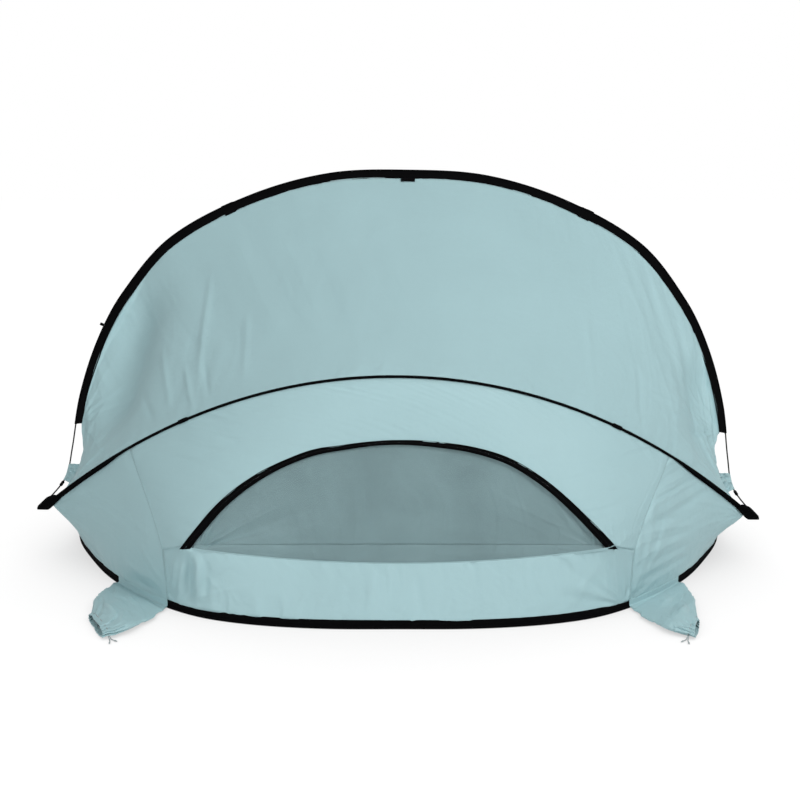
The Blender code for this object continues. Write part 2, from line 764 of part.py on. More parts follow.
def build_tips(pivot):
    """Webbing pockets in the rear hoop's plane that hold the ends of both upper hoops."""
    normal = np.array([0.0, math.cos(REAR_LEAN), -math.sin(REAR_LEAN)])
    upward = np.array([0.0, math.sin(REAR_LEAN), math.cos(REAR_LEAN)])
    behind = TAPE_RADIUS + FIT
    layer = 2 * TAPE_HALF_FIN
    floor_top = -(ROD_RADIUS + 2 * FIT)
    floor_low = floor_top - layer
    lip = ROD_RADIUS + 2 * FIT
    inner_x = REAR_HALF_WIDTH - TIP_POCKET_IN
    outer_x = REAR_HALF_WIDTH + TIP_POCKET_OUT
    outline = [(REAR_HALF_WIDTH - back, height) for back, height in TIP_POCKET_TOP]
    outline += [(outer_x, 0.0), (outer_x, floor_low), (inner_x, floor_low), (inner_x, TIP_POCKET_SHOULDER)]
    for side in (-1, 1):
        flat = [(side * x, s) for x, s in outline]
        plate = prism(
            side_name("tip_pocket", side),
            leaning(flat, REAR_LEAN, depth=-behind),
            -normal,
            layer,
            BLACK,
            pivot,
        )
        middle_x = side * (inner_x + outer_x) / 2
        across = np.array([1.0, 0.0, 0.0])
        reach = behind + layer + lip + layer
        middle_height = (floor_top + floor_low) / 2
        centre = leaning([(middle_x, middle_height)], REAR_LEAN, depth=lip + layer - reach / 2)[0]
        size = (outer_x - inner_x - 2 * FIT, reach - FIT, layer - FIT)
        floor = box("tip_floor", centre, (across, normal, upward), size, BLACK, pivot)
        rise = layer + TIP_LIP_RISE
        centre = leaning([(middle_x, floor_low + rise / 2)], REAR_LEAN, depth=lip + layer / 2)[0]
        size = (outer_x - inner_x - 4 * FIT, layer - 2 * FIT, rise)
        front_lip = box("tip_lip", centre, (across, normal, upward), size, BLACK, pivot)
        join(plate, (floor, front_lip))


def build_roof(front, tails, rear, pivot):
    """The big panel between the two upper hoops, a little hollow between them."""
    count = CENTRE_STEPS + SIDE_STEPS + 1
    low = rear[:count] + unit(front[:count] - rear[:count]) * (TAPE_RADIUS + SEAM_GAP + FIT)
    high = front[:count] + tails[:count] * (FRONT_TAPE_WIDTH + SEAM_GAP)
    grid = ruled(both_sides(low), both_sides(high), ROW_STEPS + 1)
    share = np.linspace(0.0, 1.0, len(grid))[:, None]
    width = np.linalg.norm(grid[-1] - grid[0], axis=1)[None]
    inward = unit(np.array(ROOF_HOLLOW_TOWARDS) - grid.mean(axis=0))
    grid = grid + (4.0 * share * (1.0 - share) * width * ROOF_HOLLOW)[..., None] * inward[None]
    place = np.linspace(-1.0, 1.0, grid.shape[1])
    near_edge = np.clip((np.abs(place) - ROOF_EDGE_START) / (1.0 - ROOF_EDGE_START), 0.0, 1.0) ** 2
    pull = np.array([mirrored(ROOF_EDGE_PULL, side) for side in np.sign(place)])
    grid = grid + (4.0 * share * (1.0 - share) * near_edge)[..., None] * pull[None]
    cloth("roof_panel", grid, AQUA, pivot)


def build_wall(rear):
    """The rear wall round the window: a horseshoe from the zip tape out to the seams and the hoop."""
    top = both_sides(rear[: CENTRE_STEPS + 1])
    tails = rear_tails(both_sides(rear))[SIDE_STEPS + TIP_STEPS : -(SIDE_STEPS + TIP_STEPS)]
    top = rolled(top + tails * (rear_width(top[:, 0]) + SEAM_GAP)[:, None])
    left_seam = mirrored(side_seam(mirrored(top[0], -1)), -1)[1:-1]
    right_seam = side_seam(top[-1])[1:-1]
    outer = np.vstack([left_seam, top, right_seam[::-1]])
    angles = np.linspace(-WINDOW_HALF_ANGLE, WINDOW_HALF_ANGLE, 2 * WINDOW_STEPS + 1)
    inner = on_window(window_ring(angles, zip_half(angles) + SEAM_GAP))
    grid = ruled(inner, outer, ROW_STEPS)
    share = np.linspace(0.0, 1.0, len(grid))[:, None]
    span = np.linalg.norm(grid[-1] - grid[0], axis=1)[None]
    bulge = (4.0 * share * (1.0 - share) * span * WALL_BULGE)[..., None]
    grid = grid + bulge * np.array(WALL_BULGE_WAY)
    cloth("rear_wall_panel", inset(grid, left=SEAM_GAP, right=SEAM_GAP), AQUA, None)


def side_seam(top):
    """Stations of the +X side seam from the skirt's corner up to the rear hoop."""
    corner = np.array(SKIRT_CORNER)
    low = np.array([*POCKET_REAR, RING_TAPE_WIDTH])
    curve = smooth_curve([low, corner, top], (False, False))
    above = curve[int(np.argmin(np.linalg.norm(curve - corner, axis=1))) :]
    return np.vstack([[low], even_points(above, SEAM_STEPS)])


def build_skirt(ring, fins, top, pocket_rear):
    bottom = ring[: pocket_rear + 1] + fins[: pocket_rear + 1] * (RING_TAPE_WIDTH + SEAM_GAP)
    grid = ruled(both_sides(bottom), both_sides(top), ROW_STEPS)
    grid = inset(grid, top=SEAM_GAP, left=SEAM_GAP, right=SEAM_GAP)
    cloth("rear_skirt", grid, AQUA, None)


def side_stations(ring):
    """The numbers of the ring's stations below the tip and at the front corner."""
    below, corner = (
        int(np.argmin(np.linalg.norm(ring[:, :2] - np.array(place), axis=1)))
        for place in (BELOW_TIP, FRONT_CORNER)
    )
    return below, corner


def build_side_panels(ring, fins, rear, pocket_rear):
    """The gusset on each side, from its seam with the rear wall round to the open mouth."""
    below, corner = side_stations(ring)
    low = ring + fins * (RING_TAPE_WIDTH + LOOSE_GAP)
    steps = SIDE_STEPS + TIP_STEPS
    behind_tip = even_points(low[pocket_rear : below + 1], steps)
    before_tip = even_points(low[below : corner + 1], steps)
    low = np.vstack([behind_tip, before_tip[1:]])
    edge = rear + rear_tails(rear) * (rear_width(rear[:, 0]) + LOOSE_GAP)[:, None]
    for side in (-1, 1):
        high = mirrored(rolled(mirrored(even_points(edge[CENTRE_STEPS:-1], steps), side)), side)
        past_tip = high[-1] + (low[-1] - high[-1]) * np.linspace(0.0, TIP_SHARE, steps + 1)[1:, None]
        high = np.vstack([high, past_tip])
        seam = side_seam(high[0])
        seam[0] = low[0]
        left = even_points(seam, ROW_STEPS + 2)
        right = ruled(low[-1:], high[-1:], ROW_STEPS + 2)[:, 0]
        grid = patch(mirrored(low, side), mirrored(high, side), mirrored(left, side), mirrored(right, side))
        grid = inset(grid, left=SEAM_GAP + FIT)
        cloth(side_name("side_panel", side), grid, AQUA, None)


def build_window(flap_pivot, slider_pivot):
    angles = np.linspace(-WINDOW_HALF_ANGLE, WINDOW_HALF_ANGLE, 2 * WINDOW_STEPS + 1)
    half = zip_half(angles)
    edges = [on_window(window_ring(angles, offset)) for offset in (-half, half)]
    cloth("window_zip_tape", np.stack(edges), ZIP_BLACK, None, ZIP_THICKNESS)
    arc = window_ring(angles[1:-1], -half[1:-1] - SEAM_GAP)
    corner_x = window_corner()
    seam = np.stack([arc[:, 0], seam_height(arc[:, 0], corner_x) + SEAM_GAP], axis=1)
    net = ruled(on_window(seam), on_window(arc), WINDOW_ROW_STEPS)
    cloth("window_mesh", net, MESH_GREY, None)
    flap = window_ring(angles, -half - FLAP_EDGE)
    flap = flap[flap[:, 1] > FLAP_HINGE_RISE + FLAP_EDGE]
    foot = np.stack([flap[:, 0], np.full(len(flap), FLAP_HINGE_RISE + SEAM_GAP)], axis=1)
    grid = ruled(on_window(foot, FLAP_DEPTH), on_window(flap, FLAP_DEPTH), WINDOW_ROW_STEPS)
    cloth("window_flap", grid, AQUA, flap_pivot)
    strip_top = np.stack([flap[:, 0], np.full(len(flap), FLAP_HINGE_RISE - SEAM_GAP)], axis=1)
    strip_low = np.stack([flap[:, 0], seam_height(flap[:, 0], corner_x) + LOOSE_GAP], axis=1)
    grid = np.stack([on_window(strip_low, CLOTH + 2 * FIT), on_window(strip_top, FLAP_DEPTH)])
    cloth("window_flap_foot", grid, AQUA, None)
    build_loops(corner_x)
    build_slider(slider_pivot)


def build_loops(corner_x):
    """A narrow tie tape on each side, hanging inside the skirt from the window's lower seam."""
    down = np.array([0.0, 0.0, -1.0])
    inward = np.array([0.0, 1.0, 0.0])
    for side in (-1, 1):
        x = side * LOOP_X
        depth = CLOTH / 2 + 2 * FIT + TAB_THICKNESS / 2
        start = on_window([(x, seam_height(x, corner_x) - 2 * SEAM_GAP)], depth)[0]
        across = np.array([1.0, 0.0, 0.0])
        centre = start + down * LOOP_DROP / 2
        sizes = (LOOP_WIDTH, TAB_THICKNESS, LOOP_DROP)
        box(side_name("tie_tape", side), centre, (across, inward, -down), sizes, AQUA, None)


def build_slider(pivot):
    """The zip's slider at the +X end of the arc, with its pull lying along the tape."""
    angle = SLIDER_ANGLE
    flat = window_ring(np.array([angle]), 0.0)
    along = leaning([(math.cos(angle), -math.sin(angle))], WINDOW_LEAN, 0.0, 0.0)[0]
    outward = leaning([(math.sin(angle), math.cos(angle))], WINDOW_LEAN, 0.0, 0.0)[0]
    inward = np.array([0.0, math.cos(WINDOW_LEAN), -math.sin(WINDOW_LEAN)])
    depth = ZIP_THICKNESS / 2 + FIT + SLIDER_HEIGHT / 2
    centre = on_window(flat, depth)[0]
    axes = (along, outward, inward)
    sizes = (SLIDER_LENGTH, SLIDER_WIDTH, SLIDER_HEIGHT)
    slider = box("zip_slider", centre, axes, sizes, ZIP_BLACK, pivot)
    bevel = slider.modifiers.new("worn edges", "BEVEL")
    bevel.width = SLIDER_BEVEL
    bevel.segments = 1
    lift = inward * (SLIDER_HEIGHT / 2 + FIT + PULL_THICKNESS / 2)
    place = centre + lift - along * (PULL_LENGTH - SLIDER_LENGTH) / 2
    sizes = (PULL_LENGTH, PULL_WIDTH, PULL_THICKNESS)
    box("zip_pull", place, axes, sizes, ZIP_BLACK, pivot)


def pocket_sections():
    """Rings of points round the +X sand pocket, from its wide end by the hoop to its open mouth."""
    outer = smooth_curve(POCKET_OUTER_SIDE, (False, False))
    inner = smooth_curve(POCKET_INNER_SIDE, (False, False))
    outer = even_points(outer, POCKET_BAG_STEPS)
    inner = even_points(inner, POCKET_BAG_STEPS)
    known_at = np.linspace(0.0, 1.0, len(POCKET_HEIGHTS))
    heights = np.interp(np.linspace(0.0, 1.0, POCKET_BAG_STEPS + 1), known_at, POCKET_HEIGHTS)
    angles = np.radians(np.arange(0.0, 360.0, 30.0))
    rings = []
    for a, b, height, lift in zip(outer, inner, heights, POCKET_LIFTS):
        middle = (a + b) / 2
        half = (a - b) / 2
        span = np.sign(np.cos(angles)) * np.abs(np.cos(angles)) ** POCKET_FULLNESS
        rise = np.sign(np.sin(angles)) * np.abs(np.sin(angles)) ** POCKET_FULLNESS
        ring = np.zeros((len(angles), 3))
        ring[:, :2] = middle + span[:, None] * half
        ring[:, 2] = lift + height / 2 * (1.0 + rise)
        rings.append(ring)
    return rings


def build_pockets(ring, pocket_rear, pocket_front, pivots):
    rings = pocket_sections()
    hem = rings[-2]
    sleeve_line = ring[pocket_rear : pocket_front + 1]
    out = square_to(outward_of(sleeve_line), tangents_of(sleeve_line))
    near = sleeve_line + out * (TAPE_RADIUS + FIT)
    near[:, 2] = THROAT_HEIGHT
    far = np.array([rings[0][len(hem) // 2], rings[0][0]])
    far[:, 2] = THROAT_HEIGHT
    away = unit(np.cross(far[1] - far[0], [0.0, 0.0, 1.0]))
    far = even_points(far - away * (FIT + CLOTH / 2), pocket_front - pocket_rear)
    for side, pivot in zip((-1, 1), pivots):
        bm = bmesh.new()
        loops = [[bm.verts.new(point) for point in mirrored(points, side)] for points in rings]
        for first, second in zip(loops, loops[1:]):
            for i in range(len(first)):
                j = (i + 1) % len(first)
                bm.faces.new((first[i], first[j], second[j], second[i]))
        count = len(loops[0])
        for i in range(1, count // 2 - 1):
            quad = (loops[0][i], loops[0][i + 1], loops[0][count - i - 1], loops[0][count - i])
            bm.faces.new(quad)
        bm.faces.new((loops[0][0], loops[0][1], loops[0][count - 1]))
        bm.faces.new((loops[0][count // 2], loops[0][count // 2 + 1], loops[0][count // 2 - 1]))
        bag = mesh_object(side_name("sand_pocket", side), bm, AQUA, pivot)
        bag.data.shade_smooth()
        thicken(bag, POCKET_WALL, -1.0)
        grid = ruled(mirrored(near, side), mirrored(far, side), 1)
        cloth(side_name("pocket_throat", side), grid, AQUA, None)
        build_cord(hem, rings, side, pivot)


def build_cord(hem, rings, side, pivot):
    """The drawcord round the pocket's mouth, with its two ends hanging side by side."""
    centre = hem.mean(axis=0)
    lead = unit((rings[-1].mean(axis=0) - centre) * [1, 1, 0])
    reach = CORD_RADIUS + 2 * FIT
    edges = np.roll(hem, -1, axis=0) - np.roll(hem, 1, axis=0)
    outward = unit(np.cross(edges, lead))
    outward = outward * np.sign((outward * (hem - centre)).sum(axis=1, keepdims=True))
    loop = hem + outward * reach
    start = len(hem) // 4
    order = [(start + i) % len(hem) for i in range(len(hem) + 1)]
    around = loop[order]
    spread = unit(around[1] - around[-2]) * (CORD_RADIUS + FIT)
    around[0] = around[0] + spread
    around[-1] = around[-1] - spread
    lift = np.array([0.0, 0.0, reach])
    ends = [around[0] + lead * CORD_TAIL + lift, around[-1] + lead * CORD_SHORT_TAIL + lift]
    path = np.vstack([ends[:1], around, ends[1:]])
    rod(side_name("drawcord", side), mirrored(path, side), CORD_RADIUS, CORD_GREY, pivot)


def sideways_drift():
    """A shift in X that grows with the distance from the rear hoop's plane, which stays in place."""
    apart = math.sin(FRONT_LEAN - REAR_LEAN)
    drift = Matrix.Identity(4)
    drift[0][1] = FRONT_DRIFT * math.cos(REAR_LEAN) / apart
    drift[0][2] = -FRONT_DRIFT * math.sin(REAR_LEAN) / apart
    drift[0][3] = -drift[0][2] * TIP_HEIGHT
    return drift


def main():
    clear_scene()
    front, rear = hoop_paths()
    ring, pocket_rear, pocket_front, tape_end = ring_path()
    skirt_edge = skirt_top()
    shared = CENTRE_STEPS + SIDE_STEPS + 1
    tails = front_tails(front, rear, shared)

    fins = np.tile([0.0, 0.0, 1.0], (len(ring), 1))
    fins[: pocket_rear + 1] = skirt_edge - ring[: pocket_rear + 1]
    below, corner = side_stations(ring)
    upper = np.repeat(rear[-TIP_STEPS - 1 : -TIP_STEPS], corner - pocket_rear + 1, axis=0)
    upper[: below - pocket_rear + 1] = even_points(rear[CENTRE_STEPS : -TIP_STEPS], below - pocket_rear)
    seam_share = np.sqrt(np.linspace(0.0, 1.0, corner - pocket_rear + 1))[:, None]
    side_fins = unit(upper - ring[pocket_rear : corner + 1])
    side_fins = side_fins * (1.0 - SIDE_TAPE_UPRIGHT) + np.array([0.0, 0.0, SIDE_TAPE_UPRIGHT])
    side_fins = unit(fins[pocket_rear]) * (1.0 - seam_share) + side_fins * seam_share
    fins[pocket_rear : corner + 1] = side_fins
    fade = np.linspace(1.0, 0.0, len(ring) - corner)[:, None]
    fins[corner:] = side_fins[-1] * fade + fins[-1] * (1.0 - fade)
    fins = square_to(fins, tangents_of(ring))
    fins[0, 0] = 0.0

    rear_pivot = pivot_at("rear_arch_pivot", (0.0, 0.0, TIP_HEIGHT))
    front_pivot = pivot_at("front_arch_pivot", (0.0, 0.0, TIP_HEIGHT))
    flap_pivot = pivot_at("window_flap_pivot", on_window([(0.0, FLAP_HINGE_RISE)], FLAP_DEPTH)[0])
    slider_pivot = pivot_at("zip_slider_pivot", on_window([(0.0, WINDOW_CENTRE)])[0])
    pocket_hinge = np.array([*POCKET_OUTER_SIDE[0], POCKET_HEIGHTS[0]])
    pocket_pivots = [
        pivot_at(side_name("sand_pocket_pivot", side), mirrored(pocket_hinge, side)) for side in (-1, 1)
    ]

    build_ground(ring, pocket_rear, pocket_front, tape_end, fins)
    build_skirt(ring, fins, skirt_edge, pocket_rear)
    build_side_panels(ring, fins, rear, pocket_rear)
    build_wall(rear)
    build_window(flap_pivot, slider_pivot)
    build_pockets(ring, pocket_rear, pocket_front, pocket_pivots)
    build_rear_hoop(rear, rear_pivot)
    build_tips(rear_pivot)
    build_roof(front, tails, rear, rear_pivot)
    build_front_hoop(front, tails, front_pivot)
    drift = sideways_drift()
    for obj in (bpy.data.objects["roof_panel"], *front_pivot.children):
        obj.data.transform(drift)
    for pivot in (rear_pivot, front_pivot):
        pivot.rotation_euler = (0.0, HOOP_ROLL, 0.0)


main()
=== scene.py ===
"""Looks of the pop-up sun shelter: creased cloth, webbing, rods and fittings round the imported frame.

Metres, +Z up. The window side faces -Y and the open mouth faces +Y, as in the frame.
"""

import math

import bmesh
import bpy
import numpy as np
from mathutils import Matrix, Vector


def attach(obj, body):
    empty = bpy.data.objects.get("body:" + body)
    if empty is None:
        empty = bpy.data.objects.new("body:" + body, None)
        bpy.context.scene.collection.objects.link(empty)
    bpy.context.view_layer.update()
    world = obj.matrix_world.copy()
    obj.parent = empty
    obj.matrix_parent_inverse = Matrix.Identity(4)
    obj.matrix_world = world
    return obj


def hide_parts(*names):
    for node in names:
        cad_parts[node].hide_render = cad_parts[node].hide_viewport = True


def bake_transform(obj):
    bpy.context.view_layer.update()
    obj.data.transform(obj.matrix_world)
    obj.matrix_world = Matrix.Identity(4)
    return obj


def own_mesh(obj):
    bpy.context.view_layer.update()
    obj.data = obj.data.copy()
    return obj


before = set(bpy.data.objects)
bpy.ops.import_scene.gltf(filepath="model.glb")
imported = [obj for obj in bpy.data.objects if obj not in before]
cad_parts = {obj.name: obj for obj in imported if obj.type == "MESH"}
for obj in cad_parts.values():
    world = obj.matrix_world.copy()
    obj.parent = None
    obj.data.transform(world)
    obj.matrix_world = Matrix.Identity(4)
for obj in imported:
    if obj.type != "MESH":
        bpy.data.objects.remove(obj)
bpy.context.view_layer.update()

# Camera
CAMERA_PLACE = (0.0, -5.5, 2.0)
CAMERA_PITCH = math.radians(75.4)
CAMERA_LENS = 75.7
CAMERA_SENSOR = 36.0
CAMERA_SHIFT = 0.0019

# Rods, tapes and cloth
ROD_RADIUS = 0.0025
TAPE_RADIUS = 0.0046
TAPE_HALF_FIN = 0.0012
CLOTH = 0.0006
FIT = 0.0003
TUCK = 0.004
# How far a panel reaches past its seam, how uneven a tape's fin and width are, and its rounded lip
CLOTH_LAP = 0.003
TAPE_SLACK = 0.0012
TAPE_WAVER = 0.0005
TAPE_LIP = 0.0005

# Line through the tips, and the two upper hoops
TIP_HEIGHT = 0.17
FRONT_LEAN = math.radians(24.44)
REAR_LEAN = math.radians(-34.59)
HOOP_ROLL = math.radians(0.85)
FRONT_DRIFT = 0.0148
FRONT_OUTLINE = (
    (0.0, 1.219), (0.28, 1.203), (0.56, 1.117), (0.83, 0.961), (0.988, 0.758), (1.066, 0.587),
    (1.115, 0.393), (1.134, 0.2),
)
FRONT_END_OUTLINE = ((0.089, 0.11), (0.051, 0.05), (0.0, 0.0))
FRONT_END_OUT = 0.017
FRONT_TAPE_END = 0.29
FRONT_TAPE_WIDTH = 0.044
FRONT_JOIN_X = 0.635
TAPE_TURN = 0.25
CUFF_TOP = 0.149
CUFF_BOTTOM = 0.094
CUFF_RADIUS = 0.006
CUFF_WIDTHS = (0.086, 0.084, 0.08, 0.074, 0.066)
CUFF_WAY = (-0.058, -0.06, 0.008)
CUFF_FOLDS = 0.008
CUFF_EDGE_FOLDS = 0.0012
KNOB_TOP = 0.09
KNOB_BOTTOM = 0.074
KNOB_RADIUS = 0.0055
REAR_RISE = 0.7
REAR_HALF_WIDTH = 1.219
REAR_POWER = 2.013
REAR_TAPE_WIDTH = 0.0095
REAR_TAPE_END_WIDTH = 0.018
REAR_CENTRE_EXTRA = 0.0012
REAR_JOIN_X = 0.7
SIDE_SEAM_TOP_X = 0.89
REAR_TAPE_TO_TIP = 0.014
ROOF_TO_TIP = 0.06
REAR_WIDENING = 0.42
REAR_WIDENED = 0.27
# Webbing over each tip: corners from the tip, then each layer's depth and share of that outline
TIP_POCKET_OUTLINE = (
    (-0.066, 0.058), (-0.045, 0.066), (-0.018, 0.052), (0.022, 0.0), (0.021, -0.006),
    (-0.016, -0.0065), (-0.03, 0.008),
)
TIP_POCKET_LAYERS = (
    (-0.0085, 0.95), (-0.0078, 1.0), (-0.005, 1.0), (0.0, 1.0), (0.004, 0.98), (0.0052, 0.93),
)

# Ground hoop
RING_OUTLINE = (
    (0.0, -0.637), (0.243, -0.633), (0.467, -0.598), (0.64, -0.531), (0.8, -0.4), (0.957, -0.2),
    (1.06, 0.0), (1.13, 0.18), (1.155, 0.34), (1.125, 0.49), (1.03, 0.61), (0.87, 0.69),
    (0.62, 0.732), (0.32, 0.743), (0.0, 0.745),
)
POCKET_REAR = (0.735, -0.463)
POCKET_FRONT = (0.925, -0.243)
BELOW_TIP = (1.05, -0.02)
FRONT_CORNER = (1.03, 0.61)
TIP_SHARE = 0.08
RING_TAPE_WIDTH = 0.024
SIDE_TAPE_UPRIGHT = 0.55
FERRULE_LENGTH = 0.06
FERRULE_RADIUS = 0.0042
# Depth and length of each crimp and of each rounded end
CRIMP = (0.0005, 0.0022)
FERRULE_END = (0.0006, 0.0015)
FLOOR_EDGE = 0.0032
FLOOR_THICKNESS = 0.0008
FLOOR_SWELL = 0.004
SKIRT_CORNER = (0.75, -0.445, 0.19)

# Window
WINDOW_BASE_Y = -0.52
WINDOW_BASE_Z = 0.222
WINDOW_LEAN = math.radians(9.8)
WINDOW_RADIUS = 0.8225
WINDOW_HALF_ANGLE = math.radians(54.2)
WINDOW_CORNER_RISE = 0.0011
WINDOW_CENTRE = WINDOW_CORNER_RISE - WINDOW_RADIUS * math.cos(WINDOW_HALF_ANGLE)
WINDOW_SAG = 0.048
# How far the zip wanders out from its circle: angle in degrees, then metres
WINDOW_WAVES = (
    (-54.2, 0.0), (-48.0, 0.001), (-42.0, 0.006), (-33.0, 0.008), (-25.0, 0.006), (-18.0, 0.003),
    (-12.0, -0.006), (0.0, -0.008), (9.0, -0.006), (16.0, 0.001), (24.0, 0.007), (31.0, 0.003),
    (42.0, -0.006), (48.0, -0.006), (54.2, 0.0),
)
ZIP_TOP_HALF = 0.0075
ZIP_END_TURN = math.radians(1.2)
ZIP_END_RISE = -0.002
ZIP_SIDE_HALF = 0.0135
FLAP_DEPTH = 0.009
FLAP_EDGE = 0.004
FLAP_TUCK = 0.003
FLAP_HINGE_RISE = 0.012
FLAP_CLEAR = 0.002
# How far pieces hang below the window's seam, and how the foot strip clears the seam and the flap
SEAM_TUCK = 0.001
FOOT_RISE = 0.0012
FOOT_GAP = 0.0007
LOOP_X = 0.37
LOOP_WIDTH = 0.016
LOOP_DROP = 0.09
SLIDER_ANGLE = math.radians(51.5)
SLIDER_SIZE = (0.014, 0.009, 0.004)
PULL_SIZE = (0.022, 0.006, 0.0015)
ZIP_THICKNESS = 0.0009
ZIP_GAP = 0.0001
NET_THICKNESS = 0.0003
TOOTH_PITCH = 0.0026
TOOTH_RADIUS = 0.0006
TOOTH_REACH = 0.0022
TOOTH_DEPTH = 0.0008

# Sand pockets
POCKET_OUTER_SIDE = {
    -1: ((0.945, -0.25), (0.963, -0.36), (0.978, -0.45), (0.99, -0.535)),
    1: ((0.945, -0.25), (0.947, -0.38), (0.95, -0.48), (0.948, -0.58)),
}
POCKET_INNER_SIDE = ((0.748, -0.492), (0.795, -0.6), (0.85, -0.685), (0.905, -0.728))
POCKET_HEIGHTS = (0.008, 0.02, 0.036, 0.026)
MOUTH_SCALE = 0.8
POCKET_LIFT = 0.001
# How far the mouth's upper lip is drawn back, and where its hem lies along the pocket
POCKET_LIP = 0.014
POCKET_HEM = 0.93
POCKET_FULLNESS = 0.8
# Heights of each pocket's long and cross folds, and of their ridges
LONG_FOLDS = (0.0085, 0.006)
CROSS_FOLDS = (0.005, 0.003)
# The strip between hoop and pocket: its height, its tuck into the sleeve, its gap to the pocket
THROAT_HEIGHT = 0.006
THROAT_TUCK = 0.001
THROAT_GAP = 0.0008
CORD_RADIUS = 0.0016
CORD_TAIL = 0.035
CORD_SHORT_TAIL = 0.028
CORD_INSET = 0.93
CORD_EXIT = 0.02
CORD_SPREAD = 0.006
CORD_FLOOR_GAP = 0.0004
# Each tail's knot: its distance from the end, its length, and how much it swells
KNOT_AT = 0.007
KNOT_LENGTH = 0.0028
KNOT_SWELL = 0.75
BAG_THICKNESS = 0.0009

# Small tabs on the front hoop
TOP_TAB = (0.05, 0.018)
NUB = (0.013, 0.01)
NUB_HEIGHT = 0.64
JOIN_TAB = (0.028, 0.008)
TAB_THICKNESS = 0.0012

# How far the taut cloth curves between its edges
ROOF_HOLLOW = 0.02
ROOF_HOLLOW_TOWARDS = (0.0, 0.1, 0.25)
ROOF_EDGE_PULL = (-0.036, -0.03, -0.02)
ROOF_EDGE_START = 0.75
WALL_BULGE = 0.03
WALL_BULGE_WAY = (0.0, -1.0, 0.3)
WALL_LEVEL_CREASES = 0.0021
WALL_BROAD_CREASES = 0.0012

# Steps in the frame, and how many finer ones the cloth has in each
CENTRE_STEPS = 13
SEAM_STEPS = 3
SIDE_STEPS = 4
TIP_STEPS = 3
WIRE_STEPS = 56
POCKET_STEPS = 4
STUB_STEPS = 2
RING_SIDE_STEPS = 20
WINDOW_STEPS = CENTRE_STEPS + SEAM_STEPS
FINE = 12
FINE_RING = 8
FINE_WINDOW = 10
# Steps that both upper hoops' tapes and the roof share
HOOP_SHARED = (CENTRE_STEPS + SIDE_STEPS) * FINE

# Rows of points across each sheet
ROOF_ROWS = 84
WALL_ROWS = 64
SKIRT_ROWS = 44
SIDE_ROWS = 72
NET_ROWS = 40
FLAP_ROWS = 60
FOOT_ROWS = 10
STRIP_ROWS = 8
FLOOR_ROWS = 40
# How many rounds each sheet is eased between its seams
ROOF_EASING = 30
WALL_EASING = 60
SKIRT_EASING = 40
SIDE_EASING = 20
# How far from its seams each sheet's creases reach their full depth
SEWN = 0.014
SKIRT_SEWN = 0.008
FLAP_SEWN = 0.02
ZIP_SEWN = 0.001
THROAT_SEWN = 0.002

# Angles round the tips' line, up from the rear, of the ground hoop and the rear hoop
GROUND_ANGLE = math.radians(-18.0)
REAR_ANGLE = math.radians(54.6)
FRONT_ANGLE = math.radians(114.0)
TIPS_MIDDLE = np.array([0.0, 0.0, TIP_HEIGHT])
ROLL_TURN = np.array(Matrix.Rotation(HOOP_ROLL, 3, "Y"))

# Depth of all pressed creases, the roof's small crumples, and how fat the tapes' lapped ends are
CREASE_DEPTH = 1.4
ROOF_CRUMPLES = 0.0009
CRUMPLE_SIZE = 0.05
CRUMPLE_REACH = 0.25
REAR_JOIN_SWELL = 1.45
FRONT_JOIN_SWELL = 1.15
# Creases pressed into each sheet, in shares of its width and length, degrees and metres:
# puckers have their edge, height, spacing, reach and seed
# ripples have their angle, height, spacing, length and seed
# fans have their apex, height, count, start, reach and seed
# folds have their two ends, height and width
ROOF_CREASES = {
    "puckers": (
        ("low", 0.0015, 0.026, 0.07, 3.0),
        ("high", 0.0016, 0.022, 0.05, 8.0),
        ("left", 0.0012, 0.045, 0.12, 13.0),
        ("right", 0.0012, 0.045, 0.12, 15.0),
    ),
    "ripples": ((90.0, 0.0018, 0.07, 0.5, 17.0), (74.0, 0.0012, 0.045, 0.35, 21.0)),
    "fans": (
        ((0.0, 1.0), 0.003, 16.0, 0.05, 0.22, 25.0),
        ((1.0, 1.0), 0.003, 16.0, 0.05, 0.22, 27.0),
        ((0.0, 0.0), 0.003, 14.0, 0.06, 0.3, 28.0),
        ((1.0, 0.0), 0.003, 14.0, 0.06, 0.3, 29.0),
    ),
    "folds": (
        ((0.185, 1.0), (0.075, 0.1), -0.06, 0.1),
        ((0.9, 1.0), (0.945, 0.1), -0.035, 0.08),
        ((0.27, 0.78), (0.23, 0.1), 0.005, 0.012),
        ((0.215, 0.34), (0.225, 0.02), 0.005, 0.009),
        ((0.245, 0.3), (0.25, 0.03), -0.004, 0.01),
        ((0.185, 0.55), (0.19, 0.06), 0.004, 0.011),
        ((0.31, 0.5), (0.3, 0.04), 0.003, 0.013),
        ((0.14, 0.4), (0.165, 0.03), -0.004, 0.012),
        ((0.72, 0.6), (0.755, 0.05), 0.003, 0.014),
        ((0.81, 0.45), (0.83, 0.04), -0.003, 0.012),
    ),
}
WALL_CREASES = {"puckers": (("high", 0.0016, 0.024, 0.07, 43.0), ("low", 0.0012, 0.03, 0.05, 45.0))}
